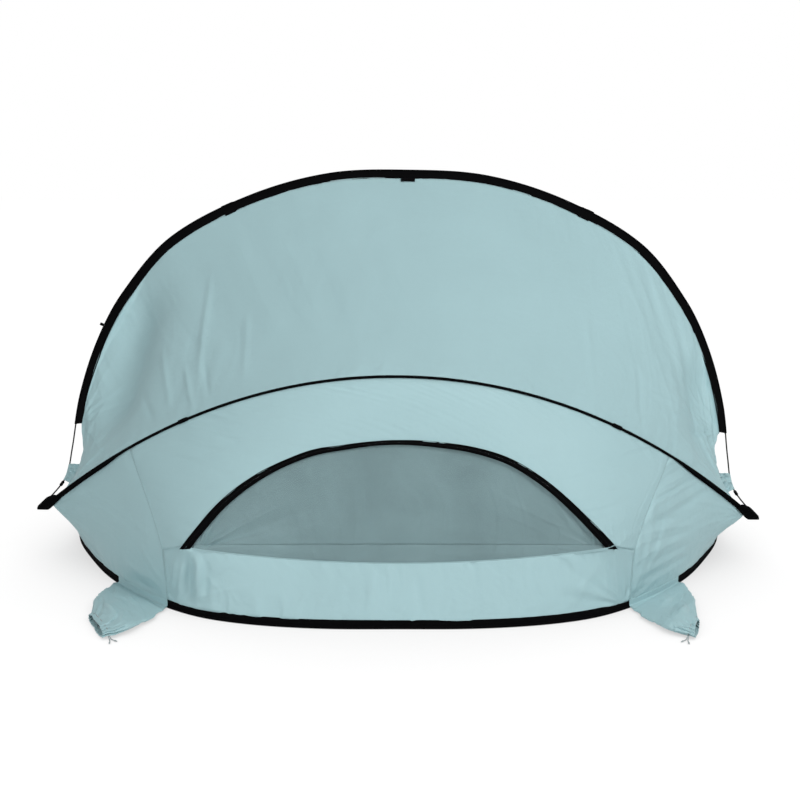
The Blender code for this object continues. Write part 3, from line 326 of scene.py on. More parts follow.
SKIRT_CREASES = {
    "puckers": (("high", 0.0022, 0.034, 0.05, 61.0), ("low", 0.0018, 0.042, 0.05, 63.0)),
    "ripples": ((90.0, 0.0028, 0.06, 0.16, 65.0), (68.0, 0.0018, 0.035, 0.1, 67.0)),
    "fans": (
        ((0.02, 0.0), 0.003, 14.0, 0.04, 0.2, 69.0),
        ((0.98, 0.0), 0.003, 14.0, 0.04, 0.2, 71.0),
    ),
    "folds": (
        ((0.05, 1.0), (0.054, 0.0), -0.019, 0.017),
        ((0.079, 1.0), (0.084, 0.1), 0.009, 0.012),
        ((0.105, 0.9), (0.1, 0.1), -0.006, 0.012),
        ((0.02, 1.0), (0.012, 0.1), 0.005, 0.01),
        ((0.45, 0.95), (0.44, 0.1), 0.004, 0.012),
        ((0.53, 0.9), (0.545, 0.1), -0.004, 0.013),
        ((0.95, 1.0), (0.955, 0.0), -0.006, 0.012),
        ((0.86, 0.2), (0.93, 0.85), 0.004, 0.016),
    ),
}
FLAP_CREASES = {
    "puckers": (("low", 0.003, 0.06, 0.1, 125.0),),
    "ripples": ((78.0, 0.0025, 0.05, 0.3, 127.0),),
    "fans": (
        ((0.02, 0.0), 0.0045, 17.0, 0.05, 0.34, 121.0),
        ((0.98, 0.0), 0.003, 15.0, 0.05, 0.3, 123.0),
    ),
}
# The left side panel is nearly plain and the right one has long slanted folds
SIDE_FOLDS = {
    -1: (
        ((0.02, 0.02), (0.2, 0.06), -0.009, 0.02),
        ((0.03, 0.1), (0.22, 0.16), 0.004, 0.012),
        ((0.01, 0.1), (0.1, 0.35), 0.004, 0.01),
    ),
    1: (
        ((0.01, 0.02), (0.3, 0.06), -0.006, 0.01),
        ((0.01, 0.06), (0.32, 0.15), 0.0055, 0.008),
        ((0.01, 0.1), (0.34, 0.21), -0.006, 0.009),
        ((0.01, 0.14), (0.3, 0.28), 0.005, 0.008),
        ((0.01, 0.2), (0.32, 0.35), -0.0045, 0.008),
        ((0.02, 0.26), (0.26, 0.4), 0.004, 0.008),
        ((0.01, 0.33), (0.3, 0.49), -0.0035, 0.008),
        ((0.02, 0.41), (0.28, 0.56), 0.0035, 0.008),
        ((0.02, 0.5), (0.2, 0.6), -0.0025, 0.008),
    ),
}
ALL_SIDES = ("low", "high", "left", "right")

# Colours, and how much of the net is thread
AQUA = (0.385, 0.575, 0.605)
FLOOR_AQUA = (0.30, 0.47, 0.50)
BLACK = (0.0022, 0.0022, 0.0025)
NET_COVER = 0.4
SHEEN_ROUGHNESS = 0.4
BLACK_PLASTIC = (0.004, 0.004, 0.0045)
MATERIALS = {}

# Studio: each lamp's name, place, target, size and power
LAMPS = (
    ("key", (4.2, -3.5, 4.35), (0.0, 0.0, 0.4), 2.4, 202.0),
    ("fill", (-3.0, -4.8, 2.2), (0.0, 0.0, 0.4), 2.4, 104.0),
    ("top", (0.2, -1.5, 5.2), (0.0, 0.0, 0.3), 2.6, 56.0),
)
FLOOR_REACH = 9.0
FLOOR_DROP = 0.0005
FLOOR_SHADOW = 0.1
FLOOR_GLOW = 0.99
FLOOR_PAINTED_SHADOW_DEPTH = 0.45
PAINTED_SHADOW_REACH = 1.1
FLOOR_BOUNCE = 0.9
WORLD_LIGHT = 0.12


def unit(vectors):
    vectors = np.asarray(vectors, float)
    return vectors / np.maximum(np.linalg.norm(vectors, axis=-1, keepdims=True), 1e-12)


def square_to(vectors, tangents):
    along = (vectors * tangents).sum(axis=-1, keepdims=True)
    return unit(vectors - along * tangents)


def tangents_of(path):
    return unit(np.gradient(path, axis=0))


def eased(share):
    share = np.clip(share, 0.0, 1.0)
    return share * share * (3.0 - 2.0 * share)


def arched(share):
    """0 at both ends and 1 in the middle."""
    return 4.0 * share * (1.0 - share)


def circle(count):
    return np.linspace(0.0, 2.0 * math.pi, count, endpoint=False)


def oblong(angles, power):
    """An outline between a circle and a square; the lower the power, the squarer it is."""
    return [np.sign(wave) * np.abs(wave) ** power for wave in (np.cos(angles), np.sin(angles))]


def smooth_curve(points, mirror_x=(False, False), steps=24):
    """A dense smooth curve through the points, flat across x = 0 at the ends that mirror_x names."""
    points = np.asarray(points, float)
    flip = np.ones(points.shape[1])
    flip[0] = -1.0
    before = points[1] * flip if mirror_x[0] else 2 * points[0] - points[1]
    after = points[-2] * flip if mirror_x[1] else 2 * points[-1] - points[-2]
    knots = np.vstack([before, points, after])
    curve = [points[:1]]
    share = np.linspace(0.0, 1.0, steps + 1)[1:, None]
    for a, b, c, d in zip(knots, knots[1:], knots[2:], knots[3:]):
        span = np.linalg.norm(c - b)
        start = (c - a) * span / (span + np.linalg.norm(b - a))
        end = (d - b) * span / (span + np.linalg.norm(d - c))
        piece = b + (c - b) * eased(share)
        piece = piece + start * (share * (1.0 - share) ** 2)
        piece = piece - end * (share * share * (1.0 - share))
        curve.append(piece)
    return np.vstack(curve)


def lengths_along(curve):
    steps = np.linalg.norm(np.diff(curve, axis=0), axis=1)
    return np.concatenate([[0.0], np.cumsum(steps)])


def at_lengths(curve, lengths):
    along = lengths_along(curve)
    return np.stack([np.interp(lengths, along, part) for part in curve.T], axis=1)


def even_points(curve, steps):
    return at_lengths(curve, np.linspace(0.0, lengths_along(curve)[-1], steps + 1))


def stations(curve, stops, steps):
    """Points along the curve: an even number of steps between each stop and the next."""
    lengths = [np.linspace(a, b, n + 1)[1:] for a, b, n in zip(stops, stops[1:], steps)]
    return at_lengths(curve, np.concatenate([[stops[0]], *lengths]))


def length_where(curve, column, value):
    """Length along the curve at which one coordinate last crosses the value."""
    part = curve[:, column]
    crossing = np.nonzero((part[:-1] - value) * (part[1:] - value) <= 0.0)[0][-1]
    share = (value - part[crossing]) / (part[crossing + 1] - part[crossing])
    along = lengths_along(curve)
    return along[crossing] + share * (along[crossing + 1] - along[crossing])


def nearest(path, point):
    width = len(point)
    return int(np.argmin(np.linalg.norm(path[:, :width] - np.asarray(point), axis=1)))


def leaning(flat, lean, base_y=0.0, base_z=TIP_HEIGHT, depth=0.0):
    """World points from (x, height) pairs in a plane that leans forward by the angle."""
    flat = np.asarray(flat, float)
    y = base_y + flat[..., 1] * math.sin(lean) + depth * math.cos(lean)
    z = base_z + flat[..., 1] * math.cos(lean) - depth * math.sin(lean)
    return np.stack([flat[..., 0], y, z], axis=-1)


def on_window(flat, depth=0.0):
    return leaning(flat, WINDOW_LEAN, WINDOW_BASE_Y, WINDOW_BASE_Z, depth)


def mirrored(points, side):
    return np.asarray(points, float) * np.array([side, 1.0, 1.0])


def rolled(points):
    """The upper hoops' points turned askew about the tips' middle, the front hoop drifting to +X."""
    offset = np.asarray(points, float) - TIPS_MIDDLE
    apart = math.sin(FRONT_LEAN - REAR_LEAN)
    drift = offset[..., 1] * math.cos(REAR_LEAN) - offset[..., 2] * math.sin(REAR_LEAN)
    offset[..., 0] += FRONT_DRIFT * drift / apart
    return offset @ ROLL_TURN.T + TIPS_MIDDLE


def turned(axes):
    return [np.asarray(axis) @ ROLL_TURN.T for axis in axes]


def plane_normal(lean):
    """The way straight in through a plane that leans forward by the angle."""
    return np.array([0.0, math.cos(lean), -math.sin(lean)])


def both_sides(half):
    return np.vstack([mirrored(half, -1.0)[:0:-1], half])


def side_name(stem, side):
    return f"{stem}_{'left' if side < 0 else 'right'}"


def noise(x, y, seed):
    """Smooth noise from -1 to 1 with one bump in each unit square."""
    x, y = np.broadcast_arrays(np.asarray(x, float), np.asarray(y, float))
    x0, y0 = np.floor(x), np.floor(y)
    fx, fy = x - x0, y - y0
    sx = fx * fx * fx * (fx * (fx * 6.0 - 15.0) + 10.0)
    sy = fy * fy * fy * (fy * (fy * 6.0 - 15.0) + 10.0)

    def corner(i, j):
        value = np.sin((x0 + i) * 127.1 + (y0 + j) * 311.7 + seed * 74.7) * 4375.85453
        return 2.0 * (value - np.floor(value)) - 1.0

    low = corner(0, 0) * (1.0 - sx) + corner(1, 0) * sx
    high = corner(0, 1) * (1.0 - sx) + corner(1, 1) * sx
    return low * (1.0 - sy) + high * sy


def rear_height(x):
    return REAR_RISE * (1.0 - (np.abs(x) / REAR_HALF_WIDTH) ** REAR_POWER)


def rear_width(x):
    start = REAR_HALF_WIDTH - REAR_WIDENING
    share = eased((np.abs(x) - start) / (REAR_WIDENING - REAR_WIDENED))
    return REAR_TAPE_WIDTH + (REAR_TAPE_END_WIDTH - REAR_TAPE_WIDTH) * share


def zip_half(angle):
    share = np.abs(np.sin(angle) / math.sin(WINDOW_HALF_ANGLE))
    ripple = 0.0009 * noise(angle * 9.0, 0.0, 5.0)
    return ZIP_TOP_HALF + (ZIP_SIDE_HALF - ZIP_TOP_HALF) * share + ripple


def window_ring(angles, offset):
    """Points in the window's plane on its wavy arc, moved outwards by the offset."""
    angles = np.asarray(angles, float)
    turn, wave = smooth_curve(WINDOW_WAVES, steps=6).T
    radius = WINDOW_RADIUS + offset + np.interp(np.degrees(angles), turn, wave)
    return np.stack([radius * np.sin(angles), WINDOW_CENTRE + radius * np.cos(angles)], axis=-1)


def window_corner():
    return window_ring(WINDOW_HALF_ANGLE, -ZIP_SIDE_HALF)[0]


def seam_height(x):
    return -WINDOW_SAG * (1.0 - (x / window_corner()) ** 2)


def window_angles():
    return np.linspace(-WINDOW_HALF_ANGLE, WINDOW_HALF_ANGLE, 2 * WINDOW_STEPS * FINE_WINDOW + 1)


def hoop_paths():
    """Half of each upper hoop from x = 0, as stations that its rod, tape and cloth share."""
    end_x = REAR_HALF_WIDTH + FRONT_END_OUT
    low_outline = [(end_x - back, height) for back, height in FRONT_END_OUTLINE]
    front_curve = smooth_curve([*FRONT_OUTLINE, *low_outline], (True, False))
    front_stops = [0.0]
    for height in (FRONT_TAPE_END, 0.0):
        front_stops.append(length_where(front_curve, 1, height))
    front_steps = (HOOP_SHARED, WIRE_STEPS)
    front = stations(front_curve, front_stops, front_steps)
    x = np.linspace(0.0, REAR_HALF_WIDTH, 600)
    rear_curve = np.stack([x, rear_height(x)], axis=1)
    rear_stops = [0.0]
    for place in (SIDE_SEAM_TOP_X, REAR_HALF_WIDTH - ROOF_TO_TIP, REAR_HALF_WIDTH - 1e-6):
        rear_stops.append(length_where(rear_curve, 0, place))
    rear = stations(rear_curve, rear_stops, (CENTRE_STEPS * FINE, SIDE_STEPS * FINE, TIP_STEPS * FINE))
    return leaning(front, FRONT_LEAN), leaning(rear, REAR_LEAN)


def rear_tails(path):
    return np.cross(plane_normal(REAR_LEAN), tangents_of(path))


def front_length_at(front, height):
    """Length along the front hoop down to the height."""
    heights = (front[:, 2] - TIP_HEIGHT) / math.cos(FRONT_LEAN)
    return np.interp(-height, -heights, lengths_along(front))


def front_tails(front, rear, count):
    """From the front hoop towards the rear hoop, station by station, turning in at the tape's end."""
    tails = np.zeros_like(front)
    aimed = lengths_along(rear)[:count] * (1.0 - TAPE_TURN * np.linspace(0.0, 1.0, count) ** 4)
    tails[:count] = at_lengths(rear, aimed) - front[:count]
    tails[count:] = tails[count - 1]
    return square_to(tails, tangents_of(front))


def skirt_top():
    """Half of the skirt's upper edge: the window's seam, the end of the zip tape, then the side seam."""
    angles = np.linspace(0.0, WINDOW_HALF_ANGLE, WINDOW_STEPS * FINE_RING + 1)
    x = window_ring(angles, -zip_half(angles))[:, 0]
    seam = on_window(np.stack([x, seam_height(x)], axis=1))
    tape_end = on_window(window_ring(WINDOW_HALF_ANGLE, ZIP_SIDE_HALF))
    stub = [seam[-1], tape_end, np.array(SKIRT_CORNER)]
    shares = np.linspace(0.0, 1.0, FINE_RING + 1)[1:, None]
    pieces = [a + (b - a) * shares for a, b in zip(stub, stub[1:])]
    return np.vstack([seam, *pieces])


def ring_path():
    """Half of the ground hoop, and the numbers of its stations at the pocket corners and its tape's end."""
    curve = smooth_curve(RING_OUTLINE, (True, True))
    stops = [0.0]
    for corner in (POCKET_REAR, POCKET_FRONT):
        stops.append(lengths_along(curve)[nearest(curve, corner)])
    whole = lengths_along(curve)[-1]
    stops.append(whole - FERRULE_LENGTH / 2 - FIT)
    stops.append(whole)
    rear_steps = (WINDOW_STEPS + STUB_STEPS) * FINE_RING
    pocket_steps = POCKET_STEPS * FINE_RING
    flat = stations(curve, stops, (rear_steps, pocket_steps, RING_SIDE_STEPS * FINE_RING, 2))
    height = np.full((len(flat), 1), TAPE_RADIUS)
    return np.hstack([flat, height]), rear_steps, rear_steps + pocket_steps, len(flat) - 3


def ring_fins(ring, rear, skirt_edge, pocket_rear):
    """The way the tape on the ground hoop stands, from leaning with the cloth to upright at the mouth."""
    below, corner = nearest(ring, BELOW_TIP), nearest(ring, FRONT_CORNER)
    fins = np.tile([0.0, 0.0, 1.0], (len(ring), 1))
    fins[: pocket_rear + 1] = skirt_edge - ring[: pocket_rear + 1]
    tip = len(rear) - 1 - TIP_STEPS * FINE
    upper = np.repeat(rear[tip : tip + 1], corner - pocket_rear + 1, axis=0)
    upper[: below - pocket_rear + 1] = even_points(rear[CENTRE_STEPS * FINE : tip], below - pocket_rear)
    share = np.sqrt(np.linspace(0.0, 1.0, corner - pocket_rear + 1))[:, None]
    side = unit(upper - ring[pocket_rear : corner + 1])
    side = side * (1.0 - SIDE_TAPE_UPRIGHT) + np.array([0.0, 0.0, SIDE_TAPE_UPRIGHT])
    side = unit(fins[pocket_rear]) * (1.0 - share) + side * share
    fins[pocket_rear : corner + 1] = side
    fade = np.linspace(1.0, 0.0, len(ring) - corner)[:, None]
    fins[corner:] = side[-1] * fade + fins[-1] * (1.0 - fade)
    fins = square_to(fins, tangents_of(ring))
    fins[0, 0] = 0.0
    return fins


def ruled(low, high, rows):
    share = np.linspace(0.0, 1.0, rows + 1)[:, None, None]
    return low[None] * (1.0 - share) + high[None] * share


def patch(low, high, left, right):
    """A surface over four edge curves: low and high run left to right, left and right run upwards."""
    u = np.linspace(0.0, 1.0, len(low))[None, :, None]
    v = np.linspace(0.0, 1.0, len(left))[:, None, None]
    across = low[None] * (1.0 - v) + high[None] * v
    upward = left[:, None] * (1.0 - u) + right[:, None] * u
    corners = (
        low[0] * (1.0 - u) * (1.0 - v)
        + low[-1] * u * (1.0 - v)
        + high[0] * (1.0 - u) * v
        + high[-1] * u * v
    )
    return across + upward - corners


def relaxed(grid, rounds):
    """The grid with its inner points eased towards their neighbours, its edges kept."""
    grid = np.array(grid, float)
    for _ in range(rounds):
        around = grid[:-2, 1:-1] + grid[2:, 1:-1] + grid[1:-1, :-2] + grid[1:-1, 2:]
        grid[1:-1, 1:-1] = 0.5 * grid[1:-1, 1:-1] + 0.125 * around
    return grid


def ridged(waves):
    """Thin ridges along the lines where the noise is 0."""
    return 1.0 - np.minimum(3.0 * np.abs(waves), 1.0) ** 0.8


class Panel:
    """A sheet of cloth on a grid of points, and the creases that are pressed into it."""

    def __init__(self, grid, outward):
        self.grid = np.array(grid, float)
        across = np.linalg.norm(np.diff(self.grid, axis=1), axis=2)
        upward = np.linalg.norm(np.diff(self.grid, axis=0), axis=2)
        rows, columns = self.grid.shape[:2]
        self.u = np.hstack([np.zeros((rows, 1)), np.cumsum(across, axis=1)])
        self.v = np.vstack([np.zeros((1, columns)), np.cumsum(upward, axis=0)])
        normals = unit(np.cross(np.gradient(self.grid, axis=1), np.gradient(self.grid, axis=0)))
        facing = (normals * np.asarray(outward, float)).sum()
        self.normals = normals * (1.0 if facing > 0.0 else -1.0)
        self.height = np.zeros((rows, columns))

    def from_edge(self, side):
        """Distance from an edge, and distance along it."""
        if side == "low":
            return self.v, self.u
        if side == "high":
            return self.v[-1:] - self.v, self.u
        if side == "left":
            return self.u, self.v
        return self.u[:, -1:] - self.u, self.v

    def flat_size(self):
        return float(self.u[:, -1].max()), float(self.v[-1].max())

    def area(self):
        a, b = self.grid[1:, 1:] - self.grid[:-1, :-1], self.grid[1:, :-1] - self.grid[:-1, 1:]
        return float(np.linalg.norm(np.cross(a, b), axis=2).sum() / 2.0)

    def place(self, u_share, v_share):
        rows, columns = self.grid.shape[:2]
        return self.grid[int(round(v_share * (rows - 1))), int(round(u_share * (columns - 1)))]

    def press(self, height):
        self.height += CREASE_DEPTH * height

    def puckers(self, side, height, spacing, reach, seed):
        """Short creases square to a seam that gathers the cloth, fading away from it."""
        away, along = self.from_edge(side)
        drift = 0.6 * noise(along / (6.0 * spacing), away / reach, seed + 9.0)
        waves = noise(along / spacing + drift, away / (3.0 * reach), seed)
        waves = waves + 0.5 * noise(along * 2.3 / spacing, away / reach, seed + 1.0)
        waves = waves + 0.7 * ridged(noise(along / spacing + 2.0 * drift, away / (2.0 * reach), seed + 3.0))
        patchy = 0.65 + 0.6 * noise(along / (5.0 * spacing), 0.5, seed + 2.0)
        self.press(height * waves * patchy * np.exp(-away / reach))

    def ripples(self, degrees, height, spacing, length, seed):
        """Long soft creases over the whole sheet, running at the angle to its rows."""
        c, s = math.cos(math.radians(degrees)), math.sin(math.radians(degrees))
        along = self.u * c + self.v * s
        across = self.v * c - self.u * s
        drift = 0.8 * noise(along / length, across / (5.0 * spacing), seed + 4.0)
        waves = noise(along / length, across / spacing + drift, seed)
        waves = waves + 0.7 * ridged(noise(along / length, across / spacing + 2.0 * drift, seed + 2.0))
        patchy = eased(0.5 + 0.9 * noise(along / length, across / (6.0 * spacing), seed + 5.0))
        self.press(height * waves * patchy)

    def fold(self, start, end, height, width):
        """One soft ridge, or a hollow where the height is negative, between two places given as shares."""
        a, b = self.place(*start), self.place(*end)
        way = unit(b - a)
        offset = self.grid - a
        along = (offset * way).sum(axis=2)
        away = np.linalg.norm(offset - along[..., None] * way, axis=2)
        length = np.linalg.norm(b - a)
        taper = eased(along / (0.35 * length)) * eased((length - along) / (0.35 * length))
        self.height += height * taper * np.exp(-((away / width) ** 2))

    def fan(self, apex, height, count, near, reach, seed):
        """Creases that spread from one place, as from a pulled corner."""
        offset = self.grid - self.place(*apex)
        middle = unit(self.grid.mean(axis=(0, 1)) - self.place(*apex))
        square = np.cross(self.normals.mean(axis=(0, 1)), middle)
        away = np.linalg.norm(offset, axis=2)
        angle = np.arctan2((offset * unit(square)).sum(axis=2), (offset * middle).sum(axis=2))
        waves = noise(angle * count / math.pi + 7.0, away / (0.8 * reach), seed)
        waves = waves + 0.4 * noise(angle * 2.2 * count / math.pi, away / reach, seed + 1.0)
        waves = waves + 0.8 * ridged(noise(angle * 0.8 * count / math.pi, away / reach, seed + 2.0))
        self.press(height * waves * eased(away / near) * np.exp(-away / reach))

    def crease(self, puckers=(), ripples=(), fans=(), folds=()):
        for row in puckers:
            self.puckers(*row)
        for row in ripples:
            self.ripples(*row)
        for row in fans:
            self.fan(*row)
        for row in folds:
            self.fold(*row)

    def points(self, free=(), sewn=SEWN):
        """The creased grid: the creases die out at each edge that is sewn."""
        mask = np.ones_like(self.height)
        for side in ALL_SIDES:
            if side not in free:
                mask = mask * eased(self.from_edge(side)[0] / sewn)
        return self.grid + self.normals * (self.height * mask)[..., None]


def crumpled(panel, height, seed):
    """Small crumples in every direction that fade in from the panel's left and right ends."""
    u, v = panel.u / CRUMPLE_SIZE, panel.v / CRUMPLE_SIZE
    total = noise(u, v, seed) + 0.5 * noise(u * 2.1, v * 2.1, seed + 1.0)
    ends = np.minimum(panel.from_edge("left")[0], panel.from_edge("right")[0])
    return height * total * np.exp(-ends / CRUMPLE_REACH)


def new_mesh(name, points, faces, uvs=None):
    mesh = bpy.data.meshes.new(name)
    mesh.from_pydata([tuple(p) for p in points], [], [tuple(f) for f in faces])
    mesh.update()
    if uvs is not None:
        layer = mesh.uv_layers.new(name="UVMap")
        corners = np.empty(len(mesh.loops), np.int32)
        mesh.loops.foreach_get("vertex_index", corners)
        layer.data.foreach_set("uv", np.asarray(uvs, np.float32)[corners].ravel())
    mesh.shade_smooth()
    obj = bpy.data.objects.new(name, mesh)
    bpy.context.scene.collection.objects.link(obj)
    return obj


def grid_faces(rows, columns, closed=False):
    """Faces over a grid of points numbered row by row; a closed one joins its last column to its first."""
    span = columns if closed else columns - 1
    i, j = np.meshgrid(np.arange(rows - 1), np.arange(span), indexing="ij")
    k = (j + 1) % columns
    a, b = i * columns + j, i * columns + k
    return np.stack([a, b, b + columns, a + columns], axis=-1).reshape(-1, 4)


def tube_faces(rings, around, *capped):
    """Faces round a tube of rings, and one face over each ring that is capped."""
    faces = [tuple(f) for f in grid_faces(rings, around, closed=True)]
    return faces + [tuple(range(ring * around, (ring + 1) * around)) for ring in capped]


def points_of(obj):
    points = np.empty(len(obj.data.vertices) * 3, np.float32)
    obj.data.vertices.foreach_get("co", points)
    return points.reshape(-1, 3)


def rings_round(path, across, normals, x, y):
    """Rings of points round the path, from distances x across it and y square to that."""
    return path[:, None] + x[..., None] * across[:, None] + y[..., None] * normals[:, None]


def outward_faces(obj, towards):
    """Turns the faces round if most of them look away from the direction."""
    facing = sum(face.normal.dot(Vector(towards)) * face.area for face in obj.data.polygons)
    if facing < 0.0:
        obj.data.flip_normals()


def outside_out(obj):
    """Turns the faces of a tube or bag so that they all look outwards."""
    bm = bmesh.new()
    bm.from_mesh(obj.data)
    bmesh.ops.recalc_face_normals(bm, faces=bm.faces)
    bm.to_mesh(obj.data)
    bm.free()


def thicken(obj, thickness, offset=0.0):
    solidify = obj.modifiers.new("thickness", "SOLIDIFY")
    solidify.thickness = thickness
    solidify.offset = offset


def sheet_object(name, panel, material, free=(), thickness=CLOTH, sewn=SEWN):
    points = panel.points(free, sewn)
    rows, columns = points.shape[:2]
    uvs = np.stack([panel.u, panel.v], axis=2).reshape(-1, 2)
    obj = new_mesh(name, points.reshape(-1, 3), grid_faces(rows, columns), uvs)
    outward_faces(obj, panel.normals.mean(axis=(0, 1)))
    obj.data.materials.append(MATERIALS[material])
    thicken(obj, thickness)
    return obj


def declare_sheet(panel):
    flat = tuple(round(size, 3) for size in panel.flat_size())
    round(panel.area(), 4)


def loft(name, rings, material, uvs=None, sharp=50.0):
    """A tube through rings of points, closed with a face at each end."""
    rings = np.asarray(rings, float)
    count, around = rings.shape[:2]
    faces = tube_faces(count, around, 0, count - 1)
    faces[-2] = faces[-2][::-1]
    obj = new_mesh(name, rings.reshape(-1, 3), faces, uvs)
    outside_out(obj)
    obj.data.set_sharp_from_angle(angle=math.radians(sharp))
    obj.data.materials.append(MATERIALS[material])
    return obj


def tube(name, path, radius, material, sides=12, helper=(0.13, 0.2, 0.97)):
    """A round tube along the path; the radius may change along it."""
    path = np.asarray(path, float)
    tangents = tangents_of(path)
    across = square_to(np.broadcast_to(np.array(helper), path.shape), tangents)
    normals = np.cross(tangents, across)
    angles = circle(sides)
    radii = np.broadcast_to(np.asarray(radius, float), len(path))[:, None, None]
    ring = across[:, None] * np.cos(angles)[None, :, None] + normals[:, None] * np.sin(angles)[None, :, None]
    along = np.repeat(lengths_along(path), sides)
    round_it = np.tile(angles, len(path)) * float(np.mean(radii))
    return loft(name, path[:, None] + ring * radii, material, np.stack([along, round_it], axis=1))


def tape_section(width):
    """Outline of tape folded round a rod, and each point's distance round it from the fin's edge."""
    root = math.asin(TAPE_HALF_FIN / TAPE_RADIUS)
    arc = np.linspace(root, 2.0 * math.pi - root, 17)
    body = np.stack([np.cos(arc), np.sin(arc)], axis=1) * TAPE_RADIUS
    steps = np.linspace(0.0, 1.0, 4)[:-1, None]
    edge = np.array([width - TAPE_LIP, TAPE_HALF_FIN])
    upper = edge + (body[0] - edge) * steps
    lower = upper[::-1] * [1.0, -1.0]
    ends = [[[width, TAPE_HALF_FIN - TAPE_LIP]], [[width, TAPE_LIP - TAPE_HALF_FIN]]]
    outline = np.vstack([ends[0], upper, body, lower, ends[1]])
    along = lengths_along(outline)
    return outline, along - along[-1] / 2.0


def tape(name, path, tails, widths, first, last, material, seed):
    """Webbing folded round a length of the rod, its two layers sewn together in a slightly wavy fin."""
    part = slice(first, last + 1)
    path, tails, widths = path[part], tails[part], widths[part]
    tangents = tangents_of(path)
    across = square_to(tails, tangents)
    normals = np.cross(tangents, across)
    along = lengths_along(path)
    rings, uvs = [], []
    for i, (place, side, normal) in enumerate(zip(path, across, normals)):
        width = widths[i] + TAPE_WAVER * float(noise(along[i] / 0.05, 0.0, seed))
        outline, round_it = tape_section(width)
        lean = TAPE_SLACK * float(noise(along[i] / 0.11, 0.0, seed + 3.0))
        share = np.clip(outline[:, :1] / max(width, 1e-6), 0.0, 1.0)
        offset = outline[:, 1:] + lean * share * share * width / RING_TAPE_WIDTH
        rings.append(place + outline[:, :1] * side + offset * normal)
        half = np.abs(round_it[-1])
        uvs.append(np.stack([np.full(len(outline), along[i]), half - np.abs(round_it)], axis=1))
    return loft(name, rings, material, np.vstack(uvs), sharp=60.0)


def sew_seam(name, path, facing, half_width=0.004, lift=0.0005):
    """A narrow felled seam on the rear cloth: a low rounded strip along the path."""
    tangents = tangents_of(path)
    normals = square_to(np.tile(facing, (len(path), 1)), tangents)
    across = np.cross(tangents, normals)
    outline = np.array([[-1.0, 0.0], [-0.9, 1.0], [0.0, 1.1], [0.9, 1.0], [1.0, 0.0], [0.0, -0.4]])
    outline = outline * [half_width, lift]
    rings = rings_round(path, across, normals, *outline.T[:, None])
    along = lengths_along(path)
    uvs = np.stack([np.repeat(along, len(outline)), np.tile(outline[:, 0], len(path))], axis=1)
    # The seam's darkened cloth is painted shade
    bend_rear(loft(name, rings, "aqua_seam_painted_shade", uvs, sharp=35.0), "aqua_cloth")


def label(nodes):
    if nodes:
        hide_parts(*nodes)


def ride(obj, body, slot, *nodes):
    label(nodes)
    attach(obj, body)


def flatten(obj):
    """Gives a stiff piece its own copy of its mesh."""
    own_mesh(obj)


def angle_at_tips(points):
    """Angle round the tips' line, 0 level behind it and growing upwards."""
    level = (points - TIPS_MIDDLE) @ ROLL_TURN
    return np.arctan2(level[:, 2], -level[:, 1])


def bend(obj, first, second, start_angle, end_angle, slot, *nodes):
    """Cloth between two bodies that turn about the tips' line: hides the named parts, bakes the cloth's
    placement into its mesh and works out each point's angle round that line.
    """
    # The start and end only complete the call
    label(nodes)
    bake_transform(obj)
    angles = angle_at_tips(points_of(obj).astype(float))


def bend_rear(obj, slot, *nodes):
    bend(obj, "ground", "rear_arch", GROUND_ANGLE, REAR_ANGLE, slot, *nodes)


def feed(tree, socket, value):
    """Joins another node's output to the socket, or sets the socket to the value."""
    if isinstance(value, bpy.types.NodeSocket):
        tree.links.new(value, socket)
    else:
        socket.default_value = value


def add_node(tree, kind, **values):
    """A node with its settings and its inputs by name."""
    node = tree.nodes.new(kind)
    for key, value in values.items():
        socket = node.inputs.get(key.replace("_", " "))
        if socket is None:
            setattr(node, key, value)
        else:
            feed(tree, socket, value)
    return node


def joined(tree, kind, *values, **settings):
    """The first output of a node that takes the values as its inputs, in their order."""
    node = add_node(tree, kind, **settings)
    for socket, value in zip(node.inputs, values):
        feed(tree, socket, value)
    return node.outputs[0]


